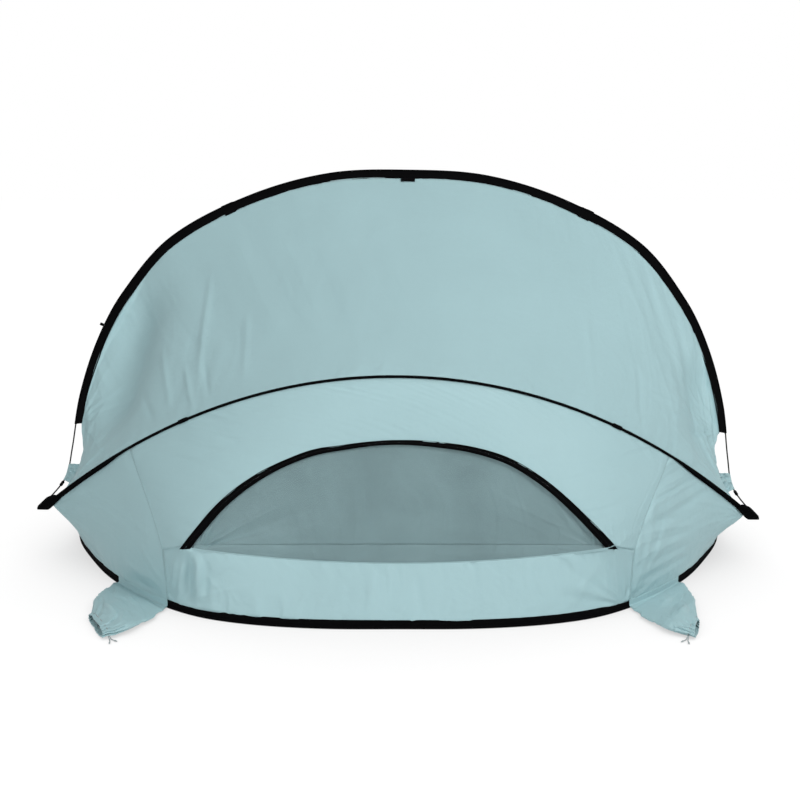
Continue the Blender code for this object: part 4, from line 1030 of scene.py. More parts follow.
class Shader:
    """Short names for making and joining a material's nodes."""

    def __init__(self, name, colour, roughness, specular=0.5, metallic=0.0, sheen=0.0):
        self.material = bpy.data.materials.new(name)
        self.material.use_nodes = True
        self.tree = self.material.node_tree
        self.surface = self.tree.nodes["Principled BSDF"]
        values = {
            "Base Color": (*colour, 1.0),
            "Roughness": roughness,
            "Specular IOR Level": specular,
            "Metallic": metallic,
            "Sheen Weight": sheen,
            "Sheen Roughness": SHEEN_ROUGHNESS,
        }
        for key, value in values.items():
            self.surface.inputs[key].default_value = value
        coordinates = self.tree.nodes.new("ShaderNodeTexCoord")
        self.uv = coordinates.outputs["UV"]
        self.object = coordinates.outputs["Object"]
        MATERIALS[name] = self.material

    def add(self, kind, **values):
        return add_node(self.tree, kind, **values)

    def math(self, operation, *values):
        return joined(self.tree, "ShaderNodeMath", *values, operation=operation)

    def scaled(self, coordinate, scale):
        return self.add("ShaderNodeMapping", Vector=coordinate, Scale=scale).outputs[0]

    def noise(self, coordinate, scale, detail=2.0):
        node = self.add("ShaderNodeTexNoise", Vector=coordinate, Scale=scale, Detail=detail)
        return node.outputs["Fac"]

    def bands(self, coordinate, way, period):
        """Even bands across one way, 0 to 1, one in each period."""
        wave = self.add("ShaderNodeTexWave", Vector=coordinate, Scale=2.0 * math.pi / (20.0 * period))
        wave.bands_direction = way
        return wave.outputs["Fac"]

    def parts(self, coordinate):
        node = self.add("ShaderNodeSeparateXYZ", Vector=coordinate)
        return node.outputs[0], node.outputs[1]

    def stitches(self, u, v, place, half_width, length):
        """1 on a dashed row of thread at this distance across, 0 elsewhere."""
        off = self.math("ABSOLUTE", self.math("SUBTRACT", v, place))
        row = self.math("LESS_THAN", off, half_width)
        dash = self.math("LESS_THAN", self.math("PINGPONG", u, length), length * 0.72)
        return self.math("MULTIPLY", row, dash)

    def mix(self, factor, first, second):
        node = self.tree.nodes.new("ShaderNodeMix")
        node.data_type = "RGBA"
        values = {"Factor": factor, "A": first, "B": second}
        for socket in node.inputs:
            value = values.get(socket.name) if socket.type == "RGBA" or socket.name == "Factor" else None
            if value is not None and socket.enabled:
                feed(self.tree, socket, (*value, 1.0) if isinstance(value, tuple) else value)
        return next(socket for socket in node.outputs if socket.enabled)

    def bump(self, height, distance, below=None):
        node = self.add("ShaderNodeBump", Height=height, Distance=distance)
        if below is not None:
            self.tree.links.new(below, node.inputs["Normal"])
        return node.outputs[0]

    def set(self, name, value):
        self.tree.links.new(value, self.surface.inputs[name])


def shade(colour, factor):
    return tuple(part * factor for part in colour)


def cloth_material(name, colour, thread, crumple, sheen):
    """Plain-woven polyester: fine threads both ways, faint slubs, soft crumples and a slight sheen."""
    s = Shader(name, colour, 0.55, specular=0.3, sheen=sheen)
    warp = s.bands(s.uv, "X", thread)
    weft = s.bands(s.uv, "Y", thread)
    weave = s.math("MAXIMUM", warp, weft)
    slubs = s.noise(s.scaled(s.uv, (30.0, 900.0, 1.0)), 1.0, 2.0)
    cloudy = s.noise(s.object, 3.0, 3.0)
    tone = s.math("ADD", s.math("MULTIPLY", cloudy, 0.7), s.math("MULTIPLY", slubs, 0.3))
    s.set("Base Color", s.mix(tone, shade(colour, 0.93), shade(colour, 1.07)))
    rough = s.math("ADD", s.math("MULTIPLY", slubs, 0.16), 0.46)
    s.set("Roughness", rough)
    fine = s.bump(s.noise(s.object, 55.0, 4.0), crumple)
    s.set("Normal", s.bump(weave, 0.00008, fine))


def webbing_material(name, colour, rib, stitch_at):
    """Woven tape with cross ribs and a row of stitches near the edge of its fin."""
    s = Shader(name, colour, 0.9, specular=0.02)
    u, v = s.parts(s.uv)
    ribs = s.bands(s.uv, "X", rib)
    thread = s.stitches(u, v, stitch_at, 0.0004, 0.0034)
    worn = s.noise(s.object, 40.0, 4.0)
    base = s.mix(worn, shade(colour, 0.7), shade(colour, 1.5))
    s.set("Base Color", s.mix(thread, base, shade(colour, 2.2)))
    s.set("Roughness", s.math("ADD", s.math("MULTIPLY", ribs, 0.1), 0.8))
    woven = s.bump(ribs, 0.00015)
    s.set("Normal", s.bump(thread, 0.0003, woven))


def seam_material():
    """The felled seams: the cloth's colour darkened as painted shade along the seam, with two rows of
    stitches.
    """
    s = Shader("aqua_seam_painted_shade", AQUA, 0.6, specular=0.25, sheen=0.1)
    u, v = s.parts(s.uv)
    thread = s.stitches(u, s.math("ABSOLUTE", v), 0.0028, 0.0004, 0.0028)
    tone = s.noise(s.object, 30.0, 3.0)
    # Darker than the cloth, at 0.78 to 0.92 of it: painted shade for the dark line along the seam
    base = s.mix(tone, shade(AQUA, 0.78), shade(AQUA, 0.92))
    s.set("Base Color", s.mix(thread, base, shade(AQUA, 1.2)))
    s.set("Normal", s.bump(thread, -0.0004, s.bump(tone, 0.0006)))


def net_material():
    """See-through net: fine dark threads both ways with gaps between them."""
    s = Shader("net", (0.012, 0.016, 0.017), 0.7, specular=0.2)
    warp = s.bands(s.uv, "X", 0.0012)
    weft = s.bands(s.uv, "Y", 0.0012)
    strand = s.math("POWER", s.math("MAXIMUM", warp, weft), 2.6)
    uneven = s.math("MULTIPLY", s.noise(s.object, 6.0, 3.0), 0.12)
    cover = s.math("SUBTRACT", s.math("MULTIPLY", strand, NET_COVER), uneven)
    s.set("Alpha", s.add("ShaderNodeClamp", Value=cover).outputs[0])
    s.set("Normal", s.bump(strand, 0.0002))


def plain_materials():
    """Wire, steel, plastic, cord and zip."""
    s = Shader("black_rod", BLACK_PLASTIC, 0.38, specular=0.12)
    drawn = s.noise(s.scaled(s.uv, (8.0, 900.0, 1.0)), 1.0, 3.0)
    s.set("Roughness", s.math("ADD", s.math("MULTIPLY", drawn, 0.25), 0.28))
    s.set("Normal", s.bump(drawn, 0.0001))
    s = Shader("steel", (0.56, 0.57, 0.58), 0.34, metallic=1.0)
    brushed = s.noise(s.scaled(s.uv, (1500.0, 60.0, 1.0)), 1.0, 3.0)
    s.set("Base Color", s.mix(brushed, (0.44, 0.45, 0.46), (0.62, 0.63, 0.64)))
    s.set("Roughness", s.math("ADD", s.math("MULTIPLY", brushed, 0.2), 0.26))
    s = Shader("black_plastic", BLACK_PLASTIC, 0.5, specular=0.06)
    grain = s.noise(s.object, 900.0, 3.0)
    s.set("Roughness", s.math("ADD", s.math("MULTIPLY", grain, 0.2), 0.42))
    s.set("Normal", s.bump(grain, 0.00015))
    s = Shader("grey_cord", (0.40, 0.46, 0.47), 0.8, specular=0.2)
    u, v = s.parts(s.uv)
    one = s.bands(s.add("ShaderNodeCombineXYZ", X=s.math("ADD", u, v)).outputs[0], "X", 0.0016)
    two = s.bands(s.add("ShaderNodeCombineXYZ", X=s.math("SUBTRACT", u, v)).outputs[0], "X", 0.0016)
    braid = s.math("MAXIMUM", one, two)
    s.set("Base Color", s.mix(braid, (0.20, 0.24, 0.25), (0.46, 0.52, 0.53)))
    s.set("Normal", s.bump(braid, 0.0002))


def make_materials():
    cloth_material("aqua_cloth", AQUA, 0.0009, 0.0011, 0.12)
    cloth_material("floor_cloth", FLOOR_AQUA, 0.0013, 0.0008, 0.05)
    webbing_material("webbing", BLACK, 0.0016, 0.0042)
    webbing_material("zip_tape", BLACK, 0.0012, 0.0022)
    seam_material()
    net_material()
    plain_materials()


def build_ground(ring, pocket_rear, pocket_front, tape_end, fins):
    whole = both_sides(ring)
    middle = len(ring) - 1
    rod = tube("ground_wire", whole, ROD_RADIUS, "black_rod")
    ride(rod, "ground", "black_rod", "ground_hoop_rod")
    widths = np.full(len(whole), RING_TAPE_WIDTH)
    tails = both_sides(fins)
    first, last = middle - pocket_rear, middle + pocket_rear
    piece = tape("ground_tape_rear", whole, tails, widths, first, last, "webbing", 1.0)
    ride(piece, "ground", "black_webbing", "ground_binding_rear")
    for side in (-1, 1):
        path, tails = mirrored(ring, side), mirrored(fins, side)
        name = side_name("ground_tape", side)
        piece = tape(name, path, tails, widths, pocket_front, tape_end, "webbing", 2.0 + side)
        ride(piece, "ground", "black_webbing", side_name("ground_binding", side))
        name = side_name("pocket_seam_sleeve", side)
        piece = tape(name, path, tails, widths, pocket_rear, pocket_front, "aqua_cloth", 5.0 + side)
        ride(piece, "ground", "aqua_cloth", side_name("pocket_sleeve", side))
    build_ferrule(ring)
    build_floor(whole)


def build_ferrule(ring):
    """Crimped steel tube that joins the two ends of the ground hoop."""
    half = FERRULE_LENGTH / 2 - FIT
    x = np.linspace(-half, half, 61)
    path = np.stack([x, np.full(len(x), ring[-1, 1]), np.full(len(x), TAPE_RADIUS)], axis=1)
    crimp = CRIMP[0] * np.exp(-(((np.abs(x) - half * 0.55) / CRIMP[1]) ** 2))
    end = FERRULE_END[0] * eased(1.0 - (half - np.abs(x)) / FERRULE_END[1])
    ferrule = tube("ferrule", path, FERRULE_RADIUS - crimp - end, "steel", sides=24)
    ride(ferrule, "ground", "steel", "ground_hoop_ferrule")


def build_floor(whole):
    """The floor: laid flat inside the hoop and puckered towards its tape."""
    outward = np.cross(tangents_of(whole), [0.0, 0.0, 1.0])
    outward = outward * np.sign((outward * (whole - whole.mean(axis=0))).sum(axis=1, keepdims=True))
    edge = whole - square_to(outward, tangents_of(whole)) * FLOOR_EDGE
    edge[:, 2] = FLOOR_THICKNESS
    middle = edge.mean(axis=0)
    shares = 1.0 - np.linspace(0.0, 1.0, FLOOR_ROWS)[:-1] ** 1.4
    grid = middle + (edge[None] - middle) * shares[:, None, None]
    x, y = grid[..., 0], grid[..., 1]
    swell = 0.5 + 0.5 * noise(x / 0.31, y / 0.27, 31.0)
    wrinkle = 1.0 - np.abs(noise(x / 0.13 + y / 0.4, y / 0.21 - x / 0.5, 33.0))
    grid[..., 2] += FLOOR_SWELL * eased(1.0 - shares[:, None] ** 6) * swell * wrinkle ** 3
    rows, columns = grid.shape[:2]
    points = grid.reshape(-1, 3)
    obj = new_mesh("floor_cloth", points, tube_faces(rows, columns, rows - 1), points[:, :2])
    outward_faces(obj, (0.0, 0.0, 1.0))
    obj.data.materials.append(MATERIALS["floor_cloth"])
    thicken(obj, FLOOR_THICKNESS, -1.0)
    ride(obj, "ground", "floor_cloth", "floor_sheet")


def build_hoop(hoop, whole, tails, widths, join_at, tape_end, extra, swelling, seed):
    """An upper hoop's rod, and three lengths of tape that lap over each other at two joins."""
    rod = tube(f"{hoop}_wire", whole, ROD_RADIUS, "black_rod")
    ride(rod, f"{hoop}_arch", "black_rod", f"{hoop}_arch_rod")
    middle = len(whole) // 2
    overlap = FINE // 4
    spans = (
        ("left", middle - tape_end, middle - join_at),
        ("centre", middle - join_at - overlap, middle + join_at + overlap),
        ("right", middle + join_at, middle + tape_end),
    )
    for part, first, last in spans:
        wide = widths + (extra if part == "centre" else 0.0)
        name = f"{hoop}_tape_{part}"
        piece = tape(name, whole, tails, wide, first, last, "webbing", len(part) + seed)
        if part == "centre":
            swell_ends(piece, 2 * overlap, swelling)
        ride(piece, f"{hoop}_arch", "black_webbing", f"{hoop}_binding_{part}")


def build_rear_hoop(rear):
    both = both_sides(rear)
    whole = rolled(both)
    tails = rolled(both + rear_tails(both)) - whole
    join_at = int(np.argmin(np.abs(rear[:, 0] - REAR_JOIN_X)))
    tape_end = int(np.argmin(np.abs(rear[:, 0] - (REAR_HALF_WIDTH - REAR_TAPE_TO_TIP))))
    widths = rear_width(both[:, 0])
    build_hoop("rear", whole, tails, widths, join_at, tape_end, REAR_CENTRE_EXTRA, REAR_JOIN_SWELL, 0)


def swell_ends(obj, count, swelling):
    """Makes the two ends of a tape a little fatter, where it laps over its neighbours."""
    around = len(tape_section(RING_TAPE_WIDTH)[0])
    rings = points_of(obj).reshape(-1, around, 3)
    middles = rings.mean(axis=1, keepdims=True)
    for ring in (slice(0, count), slice(len(rings) - count, len(rings))):
        rings[ring] = middles[ring] + (rings[ring] - middles[ring]) * swelling
    obj.data.vertices.foreach_set("co", rings.ravel())
    obj.data.update()


def build_front_hoop(front, tails):
    both = both_sides(front)
    whole = rolled(both)
    all_tails = rolled(both + both_sides(tails)) - whole
    widths = np.full(len(whole), FRONT_TAPE_WIDTH)
    join_at = int(np.argmin(np.abs(front[:, 0] - FRONT_JOIN_X)))
    build_hoop("front", whole, all_tails, widths, join_at, HOOP_SHARED, 0.0, FRONT_JOIN_SWELL, 11)
    build_cuffs(front)
    build_tabs(front, tails, join_at)


def build_cuffs(front):
    """The roof's corner gathered on the bare wire, and the cord lock under it."""
    steps, around = 28, 72
    lengths = np.linspace(front_length_at(front, CUFF_TOP), front_length_at(front, CUFF_BOTTOM), steps + 1)
    path = at_lengths(front, lengths)
    tail = np.broadcast_to(np.array(CUFF_WAY), path.shape)
    reach = np.interp(np.linspace(0, 1, steps + 1), np.linspace(0, 1, len(CUFF_WIDTHS)), CUFF_WIDTHS)
    knob_ends = [front_length_at(front, height) for height in (KNOB_TOP, KNOB_BOTTOM)]
    knob = at_lengths(front, np.linspace(*knob_ends, 17))
    angles = circle(around)
    share = np.linspace(0.0, 1.0, steps + 1)[:, None]
    for side in (-1, 1):
        tangents = tangents_of(path)
        across = square_to(tail, tangents)
        normals = np.cross(tangents, across)
        pleats = np.sin(9.0 * angles[None] + 1.6 * noise(share * 3.0, angles[None] * 0.8, 41.0 + side))
        creases = noise(share * 5.0, angles[None] * 1.6, 43.0 + side)
        level = np.cos(angles)[None]
        slanted = noise(share * 6.0 + 2.0 * level, 2.4 * level - share * 5.0, 47.0 + side)
        fatness = CUFF_RADIUS * (0.9 + 0.16 * pleats * eased(share * 1.5 + 0.2) + 0.2 * creases)
        half = (reach[:, None] + CUFF_RADIUS) / 2.0
        x = half * np.cos(angles)[None] + (reach[:, None] - CUFF_RADIUS) / 2.0 + CUFF_EDGE_FOLDS * creases
        y = fatness * np.sin(angles)[None] * (1.0 - 0.35 * (x / reach[:, None]).clip(0.0, 1.0))
        y = y + CUFF_FOLDS * (slanted + 0.6 * ridged(slanted)) * eased(x / 0.02)
        rings = rolled(mirrored(rings_round(path, across, normals, x, y), side))
        uvs = np.stack([np.tile(angles * 0.01, steps + 1), np.repeat(lengths, around)], axis=1)
        cuff = loft(side_name("gathered_cuff", side), rings, "aqua_cloth", uvs, sharp=80.0)
        bend(cuff, "rear_arch", "front_arch", REAR_ANGLE, FRONT_ANGLE, "aqua_cloth", side_name("cuff", side))
        shape = np.linspace(-1.0, 1.0, 17)
        radii = KNOB_RADIUS * (1.0 - 0.28 * np.abs(shape) ** 4) - 0.0006 * np.exp(-((shape / 0.16) ** 2))
        lock = tube(side_name("knob", side), rolled(mirrored(knob, side)), radii, "black_plastic", sides=24)
        ride(lock, "front_arch", "black_plastic", side_name("cord_lock", side))


def webbing_piece(name, centre, axes, sizes, bow):
    """A short cut of webbing: a thin slab with soft edges that bows along its length."""
    columns, rows = 24, 12
    u, v = np.meshgrid(np.linspace(-0.5, 0.5, columns), np.linspace(-0.5, 0.5, rows))
    length, width, thickness = sizes
    lift = bow * (1.0 - 4.0 * u * u)
    points = np.asarray(centre, float) + (u * length)[..., None] * axes[0] + (v * width)[..., None] * axes[1]
    points = points + lift[..., None] * axes[2]
    uvs = np.stack([u * length, (0.5 - np.abs(v)) * width], axis=2).reshape(-1, 2)
    obj = new_mesh(name, points.reshape(-1, 3), grid_faces(rows, columns), uvs)
    obj.data.materials.append(MATERIALS["webbing"])
    thicken(obj, thickness)
    bevel = obj.modifiers.new("soft edges", "BEVEL")
    bevel.width = thickness * 0.3
    bevel.segments = 2
    return obj


def build_tabs(front, tails, join_at):
    along = np.array([1.0, 0.0, 0.0])
    normal = np.cross(along, tails[0])
    normal = normal * np.sign(normal[2])
    middle = front[0] + tails[0] * (FRONT_TAPE_WIDTH + TOP_TAB[1] / 2 + FIT)
    middle = middle + normal * (CLOTH / 2 + FIT + TAB_THICKNESS / 2)
    plane = plane_normal(FRONT_LEAN)
    tab_axes = turned([along, tails[0], normal])
    tab = webbing_piece("top_tab", rolled(middle), tab_axes, (*TOP_TAB, TAB_THICKNESS), 0.001)
    ride(tab, "front_arch", "black_webbing", "hanging_tab")
    nub_at = front_length_at(front, NUB_HEIGHT)
    segment = mirrored(at_lengths(front, [nub_at - NUB[1] / 2, nub_at + NUB[1] / 2]), -1)
    path = unit(segment[1] - segment[0])
    out = np.cross(path, plane)
    out = out * -np.sign(out[0])
    middle = segment.mean(axis=0) + out * (TAPE_RADIUS + FIT + NUB[0] / 2)
    axes = turned([out, path, np.cross(out, path)])
    nub = webbing_piece("side_nub", rolled(middle), axes, (*NUB, TAB_THICKNESS), 0.0005)
    ride(nub, "front_arch", "black_webbing", "side_tab_left")
    path = tangents_of(front)[join_at]
    out = np.cross(path, plane)
    out = out * np.sign(out[2])
    middle = front[join_at] + out * (TAPE_RADIUS + FIT + TAB_THICKNESS / 2) + path * JOIN_TAB[0] / 2
    axes = turned([path, plane, out])
    end = webbing_piece("tape_tail", rolled(middle), axes, (*JOIN_TAB, TAB_THICKNESS), 0.0004)
    ride(end, "front_arch", "black_webbing", "join_tab_right")


def build_tips():
    """Webbing folded over each tip."""
    corners = np.array(TIP_POCKET_OUTLINE) + [REAR_HALF_WIDTH, 0.0]
    outline = smooth_closed(corners, 8)
    middle = outline.mean(axis=0)
    for side in (-1, 1):
        rings = []
        for depth, share in TIP_POCKET_LAYERS:
            flat = middle + (outline - middle) * share
            rings.append(leaning(flat * [side, 1.0], REAR_LEAN, depth=depth))
        rings = rolled(np.array(rings))
        uvs = np.tile(outline - middle, (len(rings), 1))
        piece = loft(side_name("tip_webbing", side), rings, "webbing", uvs, sharp=55.0)
        ride(piece, "rear_arch", "black_webbing", side_name("tip_pocket", side))

# Depth and reach of the painted contact shadow that ambient occlusion darkens into the floor's glow

def smooth_closed(corners, steps):
    """A closed outline through the corners, rounded a little at each."""
    points = []
    count = len(corners)
    for i in range(count):
        a, b, c = corners[i - 1], corners[i], corners[(i + 1) % count]
        start, end = b + (a - b) * 0.22, b + (c - b) * 0.22
        for share in np.linspace(0.0, 1.0, steps):
            points.append((1 - share) ** 2 * start + 2 * share * (1 - share) * b + share * share * end)
    return np.array(points)


def build_roof(front, tails, rear):
    """The big panel between the two upper hoops, a little hollow between them."""
    count = HOOP_SHARED + 1
    low = rear[:count] + unit(front[:count] - rear[:count]) * CLOTH_LAP
    high = front[:count] + tails[:count] * (FRONT_TAPE_WIDTH - TUCK)
    grid = ruled(both_sides(low), both_sides(high), ROOF_ROWS)
    share = np.linspace(0.0, 1.0, len(grid))[:, None]
    width = np.linalg.norm(grid[-1] - grid[0], axis=1)[None]
    inward = unit(np.array(ROOF_HOLLOW_TOWARDS) - grid.mean(axis=0))
    grid = grid + (arched(share) * width * ROOF_HOLLOW)[..., None] * inward[None]
    place = np.linspace(-1.0, 1.0, grid.shape[1])
    near_edge = np.clip((np.abs(place) - ROOF_EDGE_START) / (1.0 - ROOF_EDGE_START), 0.0, 1.0) ** 2
    pull = np.array([mirrored(ROOF_EDGE_PULL, side) for side in np.sign(place)])
    grid = grid + (arched(share) * near_edge)[..., None] * pull[None]
    panel = Panel(relaxed(rolled(grid), ROOF_EASING), (0.0, -0.6, 0.8))
    panel.crease(**ROOF_CREASES)
    panel.height += crumpled(panel, ROOF_CRUMPLES, 31.0)
    roof = sheet_object("roof_cloth", panel, "aqua_cloth", free=("left", "right"))
    bend(roof, "rear_arch", "front_arch", REAR_ANGLE, FRONT_ANGLE, "aqua_cloth", "roof_panel")
    declare_sheet(panel)


def seam_above(top):
    """The +X side seam from the skirt's corner up to the rear hoop, and its whole curve from the ground."""
    corner = np.array(SKIRT_CORNER)
    low = np.array([*POCKET_REAR, RING_TAPE_WIDTH])
    curve = smooth_curve([low, corner, top])
    return curve[nearest(curve, corner) :]


def build_wall(rear):
    """The rear wall round the window: a horseshoe from the zip tape out to the seams and the hoop."""
    thin = rear[: CENTRE_STEPS * FINE + 1]
    whole = both_sides(rear)
    margin = (SIDE_STEPS + TIP_STEPS) * FINE
    tails = rear_tails(whole)[margin:-margin]
    top = rolled(both_sides(thin) + tails * CLOTH_LAP)
    top = even_points(top, 2 * CENTRE_STEPS * FINE_WINDOW)
    left = mirrored(even_points(seam_above(mirrored(top[0], -1)), SEAM_STEPS * FINE_WINDOW), -1)
    right = even_points(seam_above(top[-1]), SEAM_STEPS * FINE_WINDOW)
    outer = np.vstack([left[:-1], top, right[::-1][1:]])
    angles = window_angles()
    inner = on_window(window_ring(angles, zip_half(angles) - CLOTH_LAP))
    grid = ruled(inner, outer, WALL_ROWS)
    share = np.linspace(0.0, 1.0, len(grid))[:, None]
    span = np.linalg.norm(grid[-1] - grid[0], axis=1)[None]
    grid = grid + (arched(share) * span * WALL_BULGE)[..., None] * np.array(WALL_BULGE_WAY)
    panel = Panel(relaxed(grid, WALL_EASING), (0.0, -1.0, 0.3))
    panel.crease(**WALL_CREASES)
    level_creases(panel)
    wall = sheet_object("rear_wall_cloth", panel, "aqua_cloth")
    bend_rear(wall, "aqua_cloth", "rear_wall_panel")
    declare_sheet(panel)
    return left, right


def level_creases(panel):
    """Level tension creases that run in from both side seams and fade towards the middle."""
    x, z = panel.grid[..., 0], panel.grid[..., 2]
    from_side = np.abs(x) / 0.86
    drift = noise(x / 0.22, z / 0.12, 51.0)
    waves = noise(x / 0.16, z / 0.022 + 0.7 * drift, 53.0) + 0.5 * noise(x / 0.1, z / 0.011, 55.0)
    patchy = eased(0.35 + 0.8 * noise(x / 0.2, z / 0.07, 57.0))
    waves = waves + 0.8 * ridged(noise(x / 0.2, z / 0.026 + 0.9 * drift, 56.0))
    panel.press(WALL_LEVEL_CREASES * waves * patchy * eased((from_side - 0.25) / 0.6))
    panel.press(WALL_BROAD_CREASES * noise(x / 0.5, z / 0.06 + 0.5 * drift, 59.0))


def build_skirt(ring, fins, top, pocket_rear):
    bottom = ring[: pocket_rear + 1] + fins[: pocket_rear + 1] * (RING_TAPE_WIDTH - TUCK)
    grid = relaxed(ruled(both_sides(bottom), both_sides(top), SKIRT_ROWS), SKIRT_EASING)
    panel = Panel(grid, (0.0, -1.0, 0.2))
    panel.crease(**SKIRT_CREASES)
    skirt = sheet_object("skirt_cloth", panel, "aqua_cloth", sewn=SKIRT_SEWN)
    bend_rear(skirt, "aqua_cloth", "rear_skirt")
    declare_sheet(panel)


def build_side_panels(ring, fins, rear, pocket_rear):
    """The gusset on each side, from its seam with the rear wall round to the open mouth."""
    below, corner = nearest(ring, BELOW_TIP), nearest(ring, FRONT_CORNER)
    low = ring + fins * (RING_TAPE_WIDTH - TUCK)
    steps = (SIDE_STEPS + TIP_STEPS) * FINE
    behind_tip = even_points(low[pocket_rear : below + 1], steps)
    before_tip = even_points(low[below : corner + 1], steps)
    low = np.vstack([behind_tip, before_tip[1:]])
    past_seam = eased((rear[:, 0] - SIDE_SEAM_TOP_X) / 0.12)
    reach = CLOTH_LAP + (rear_width(rear[:, 0]) - 2.0 * CLOTH_LAP) * past_seam
    hoop_edge = rear + rear_tails(rear) * reach[:, None]
    for side in (-1, 1):
        high = even_points(hoop_edge[CENTRE_STEPS * FINE : -FINE], steps)
        high = mirrored(rolled(mirrored(high, side)), side)
        past_tip = high[-1] + (low[-1] - high[-1]) * np.linspace(0.0, TIP_SHARE, steps + 1)[1:, None]
        high = np.vstack([high, past_tip])
        seam = np.vstack([low[:1], even_points(seam_above(high[0]), SEAM_STEPS * FINE)])
        left = even_points(seam, SIDE_ROWS)
        right = ruled(low[-1:], high[-1:], SIDE_ROWS)[:, 0]
        grid = patch(*(mirrored(edge, side) for edge in (low, high, left, right)))
        panel = Panel(relaxed(grid, SIDE_EASING), (side, -0.6, 0.3))
        panel.crease(
            puckers=(
                ("low", 0.002, 0.035, 0.05, 87.0 + side),
                ("high", 0.0014, 0.028, 0.05, 90.0 + side),
                ("left", 0.0007, 0.03, 0.05, 93.0 + side),
            ),
            ripples=(
                (29.0, 0.0016 + 0.0008 * side, 0.02, 0.3, 96.0 + side),
                (36.0, 0.0014 + 0.001 * side, 0.045, 0.35, 98.0 + side),
            ),
            fans=(
                ((0.0, 0.0), 0.0024 + 0.0012 * side, 22.0, 0.05, 0.3, 81.0 + side),
                ((0.5, 1.0), 0.0018, 20.0, 0.05, 0.3, 84.0 + side),
            ),
            folds=SIDE_FOLDS[side],
        )
        gusset = sheet_object(side_name("side_cloth", side), panel, "aqua_cloth", free=("right",))
        bend_rear(gusset, "aqua_cloth", side_name("side_panel", side))
        declare_sheet(panel)


def build_window():
    angles = window_angles()
    longer = angles * (1.0 + ZIP_END_TURN / WINDOW_HALF_ANGLE)
    half = zip_half(longer)
    inner, outer = (window_ring(longer, offset) for offset in (-half, half))
    for edge in (inner, outer):
        edge[:, 1] = np.maximum(edge[:, 1], ZIP_END_RISE)
    build_zip(inner, outer)
    half = zip_half(angles)
    arc = window_ring(angles, -half + CLOTH_LAP)
    seam = np.stack([arc[:, 0], seam_height(arc[:, 0]) - SEAM_TUCK], axis=1)
    seam[:, 1] = np.minimum(seam[:, 1], arc[:, 1])
    net = Panel(ruled(on_window(seam), on_window(arc), NET_ROWS), (0.0, -1.0, 0.0))
    net.ripples(15.0, 0.0012, 0.09, 0.4, 101.0)
    mesh = sheet_object("window_net", net, "net", thickness=NET_THICKNESS)
    bend_rear(mesh, "net", "window_mesh")
    declare_sheet(net)
    build_flap(angles, half)


def build_zip(inner, outer):
    """Zip tape in two strips with a coil of teeth between them."""
    middle = (inner + outer) / 2.0
    way = unit(outer - inner)
    for name, near, far, nodes in (
        ("zip_tape_inner", middle - way * ZIP_GAP, inner, ()),
        ("zip_tape_outer", middle + way * ZIP_GAP, outer, ("window_zip_tape",)),
    ):
        panel = Panel(ruled(on_window(near), on_window(far), STRIP_ROWS), (0.0, -1.0, 0.0))
        panel.ripples(0.0, 0.0007, 0.2, 0.06, 111.0)
        strip = sheet_object(name, panel, "zip_tape", thickness=ZIP_THICKNESS, sewn=ZIP_SEWN)
        bend_rear(strip, "black_webbing", *nodes)
    line = on_window(middle)
    length = lengths_along(line)[-1]
    turns = int(length / TOOTH_PITCH)
    dense = even_points(line, turns * 8)
    phase = np.linspace(0.0, turns * 2.0 * math.pi, len(dense))
    picked = np.linspace(0, len(line) - 1, len(dense)).astype(int)
    across = square_to((on_window(outer) - line)[picked], tangents_of(dense))
    depth = plane_normal(WINDOW_LEAN)
    coil = dense + across * (TOOTH_REACH * np.cos(phase))[:, None]
    coil = coil + depth * (TOOTH_DEPTH * np.sin(phase))[:, None]
    teeth = tube("zip_coil", coil, TOOTH_RADIUS, "black_plastic", sides=5, helper=tuple(depth))
    bend_rear(teeth, "black_plastic")


def build_flap(angles, half):
    """The solid flap zipped shut behind the net, and the strip that it hangs from."""
    edge = window_ring(angles, -half + FLAP_TUCK)
    edge = edge[edge[:, 1] > FLAP_HINGE_RISE + FLAP_EDGE]
    hinge = np.stack([edge[:, 0], np.full(len(edge), FLAP_HINGE_RISE)], axis=1)
    seam = np.stack([edge[:, 0], seam_height(edge[:, 0]) + FOOT_RISE], axis=1)
    low, middle = on_window(seam, CLOTH + 2 * FIT), on_window(hinge, FLAP_DEPTH)
    foot, flat = ruled(low, middle, FOOT_ROWS), ruled(middle, on_window(edge, FLAP_DEPTH), FLAP_ROWS)
    grid = np.vstack([foot[:-1], flat])
    whole = Panel(grid, (0.0, -1.0, 0.0))
    whole.crease(**FLAP_CREASES)
    foot_depth = np.linspace(CLOTH + 2 * FIT, FLAP_DEPTH, FOOT_ROWS)
    depth = np.concatenate([foot_depth, np.full(len(grid) - FOOT_ROWS, FLAP_DEPTH)])
    whole.height = np.clip(whole.height, -FLAP_DEPTH, (depth - FLAP_CLEAR).clip(0.0)[:, None])
    points = whole.points(sewn=FLAP_SEWN)
    panel = Panel(points[FOOT_ROWS:], (0.0, -1.0, 0.0))
    flap = sheet_object("flap_cloth", panel, "aqua_cloth", free=ALL_SIDES)
    ride(flap, "flap", "aqua_cloth", "window_flap")
    flatten(flap)
    declare_sheet(panel)
    points[FOOT_ROWS, :, 2] -= FOOT_GAP
    strip = Panel(points[: FOOT_ROWS + 1], (0.0, -1.0, 0.0))
    foot_strip = sheet_object("flap_foot_cloth", strip, "aqua_cloth", free=ALL_SIDES)
    bend_rear(foot_strip, "aqua_cloth", "window_flap_foot")
    declare_sheet(strip)


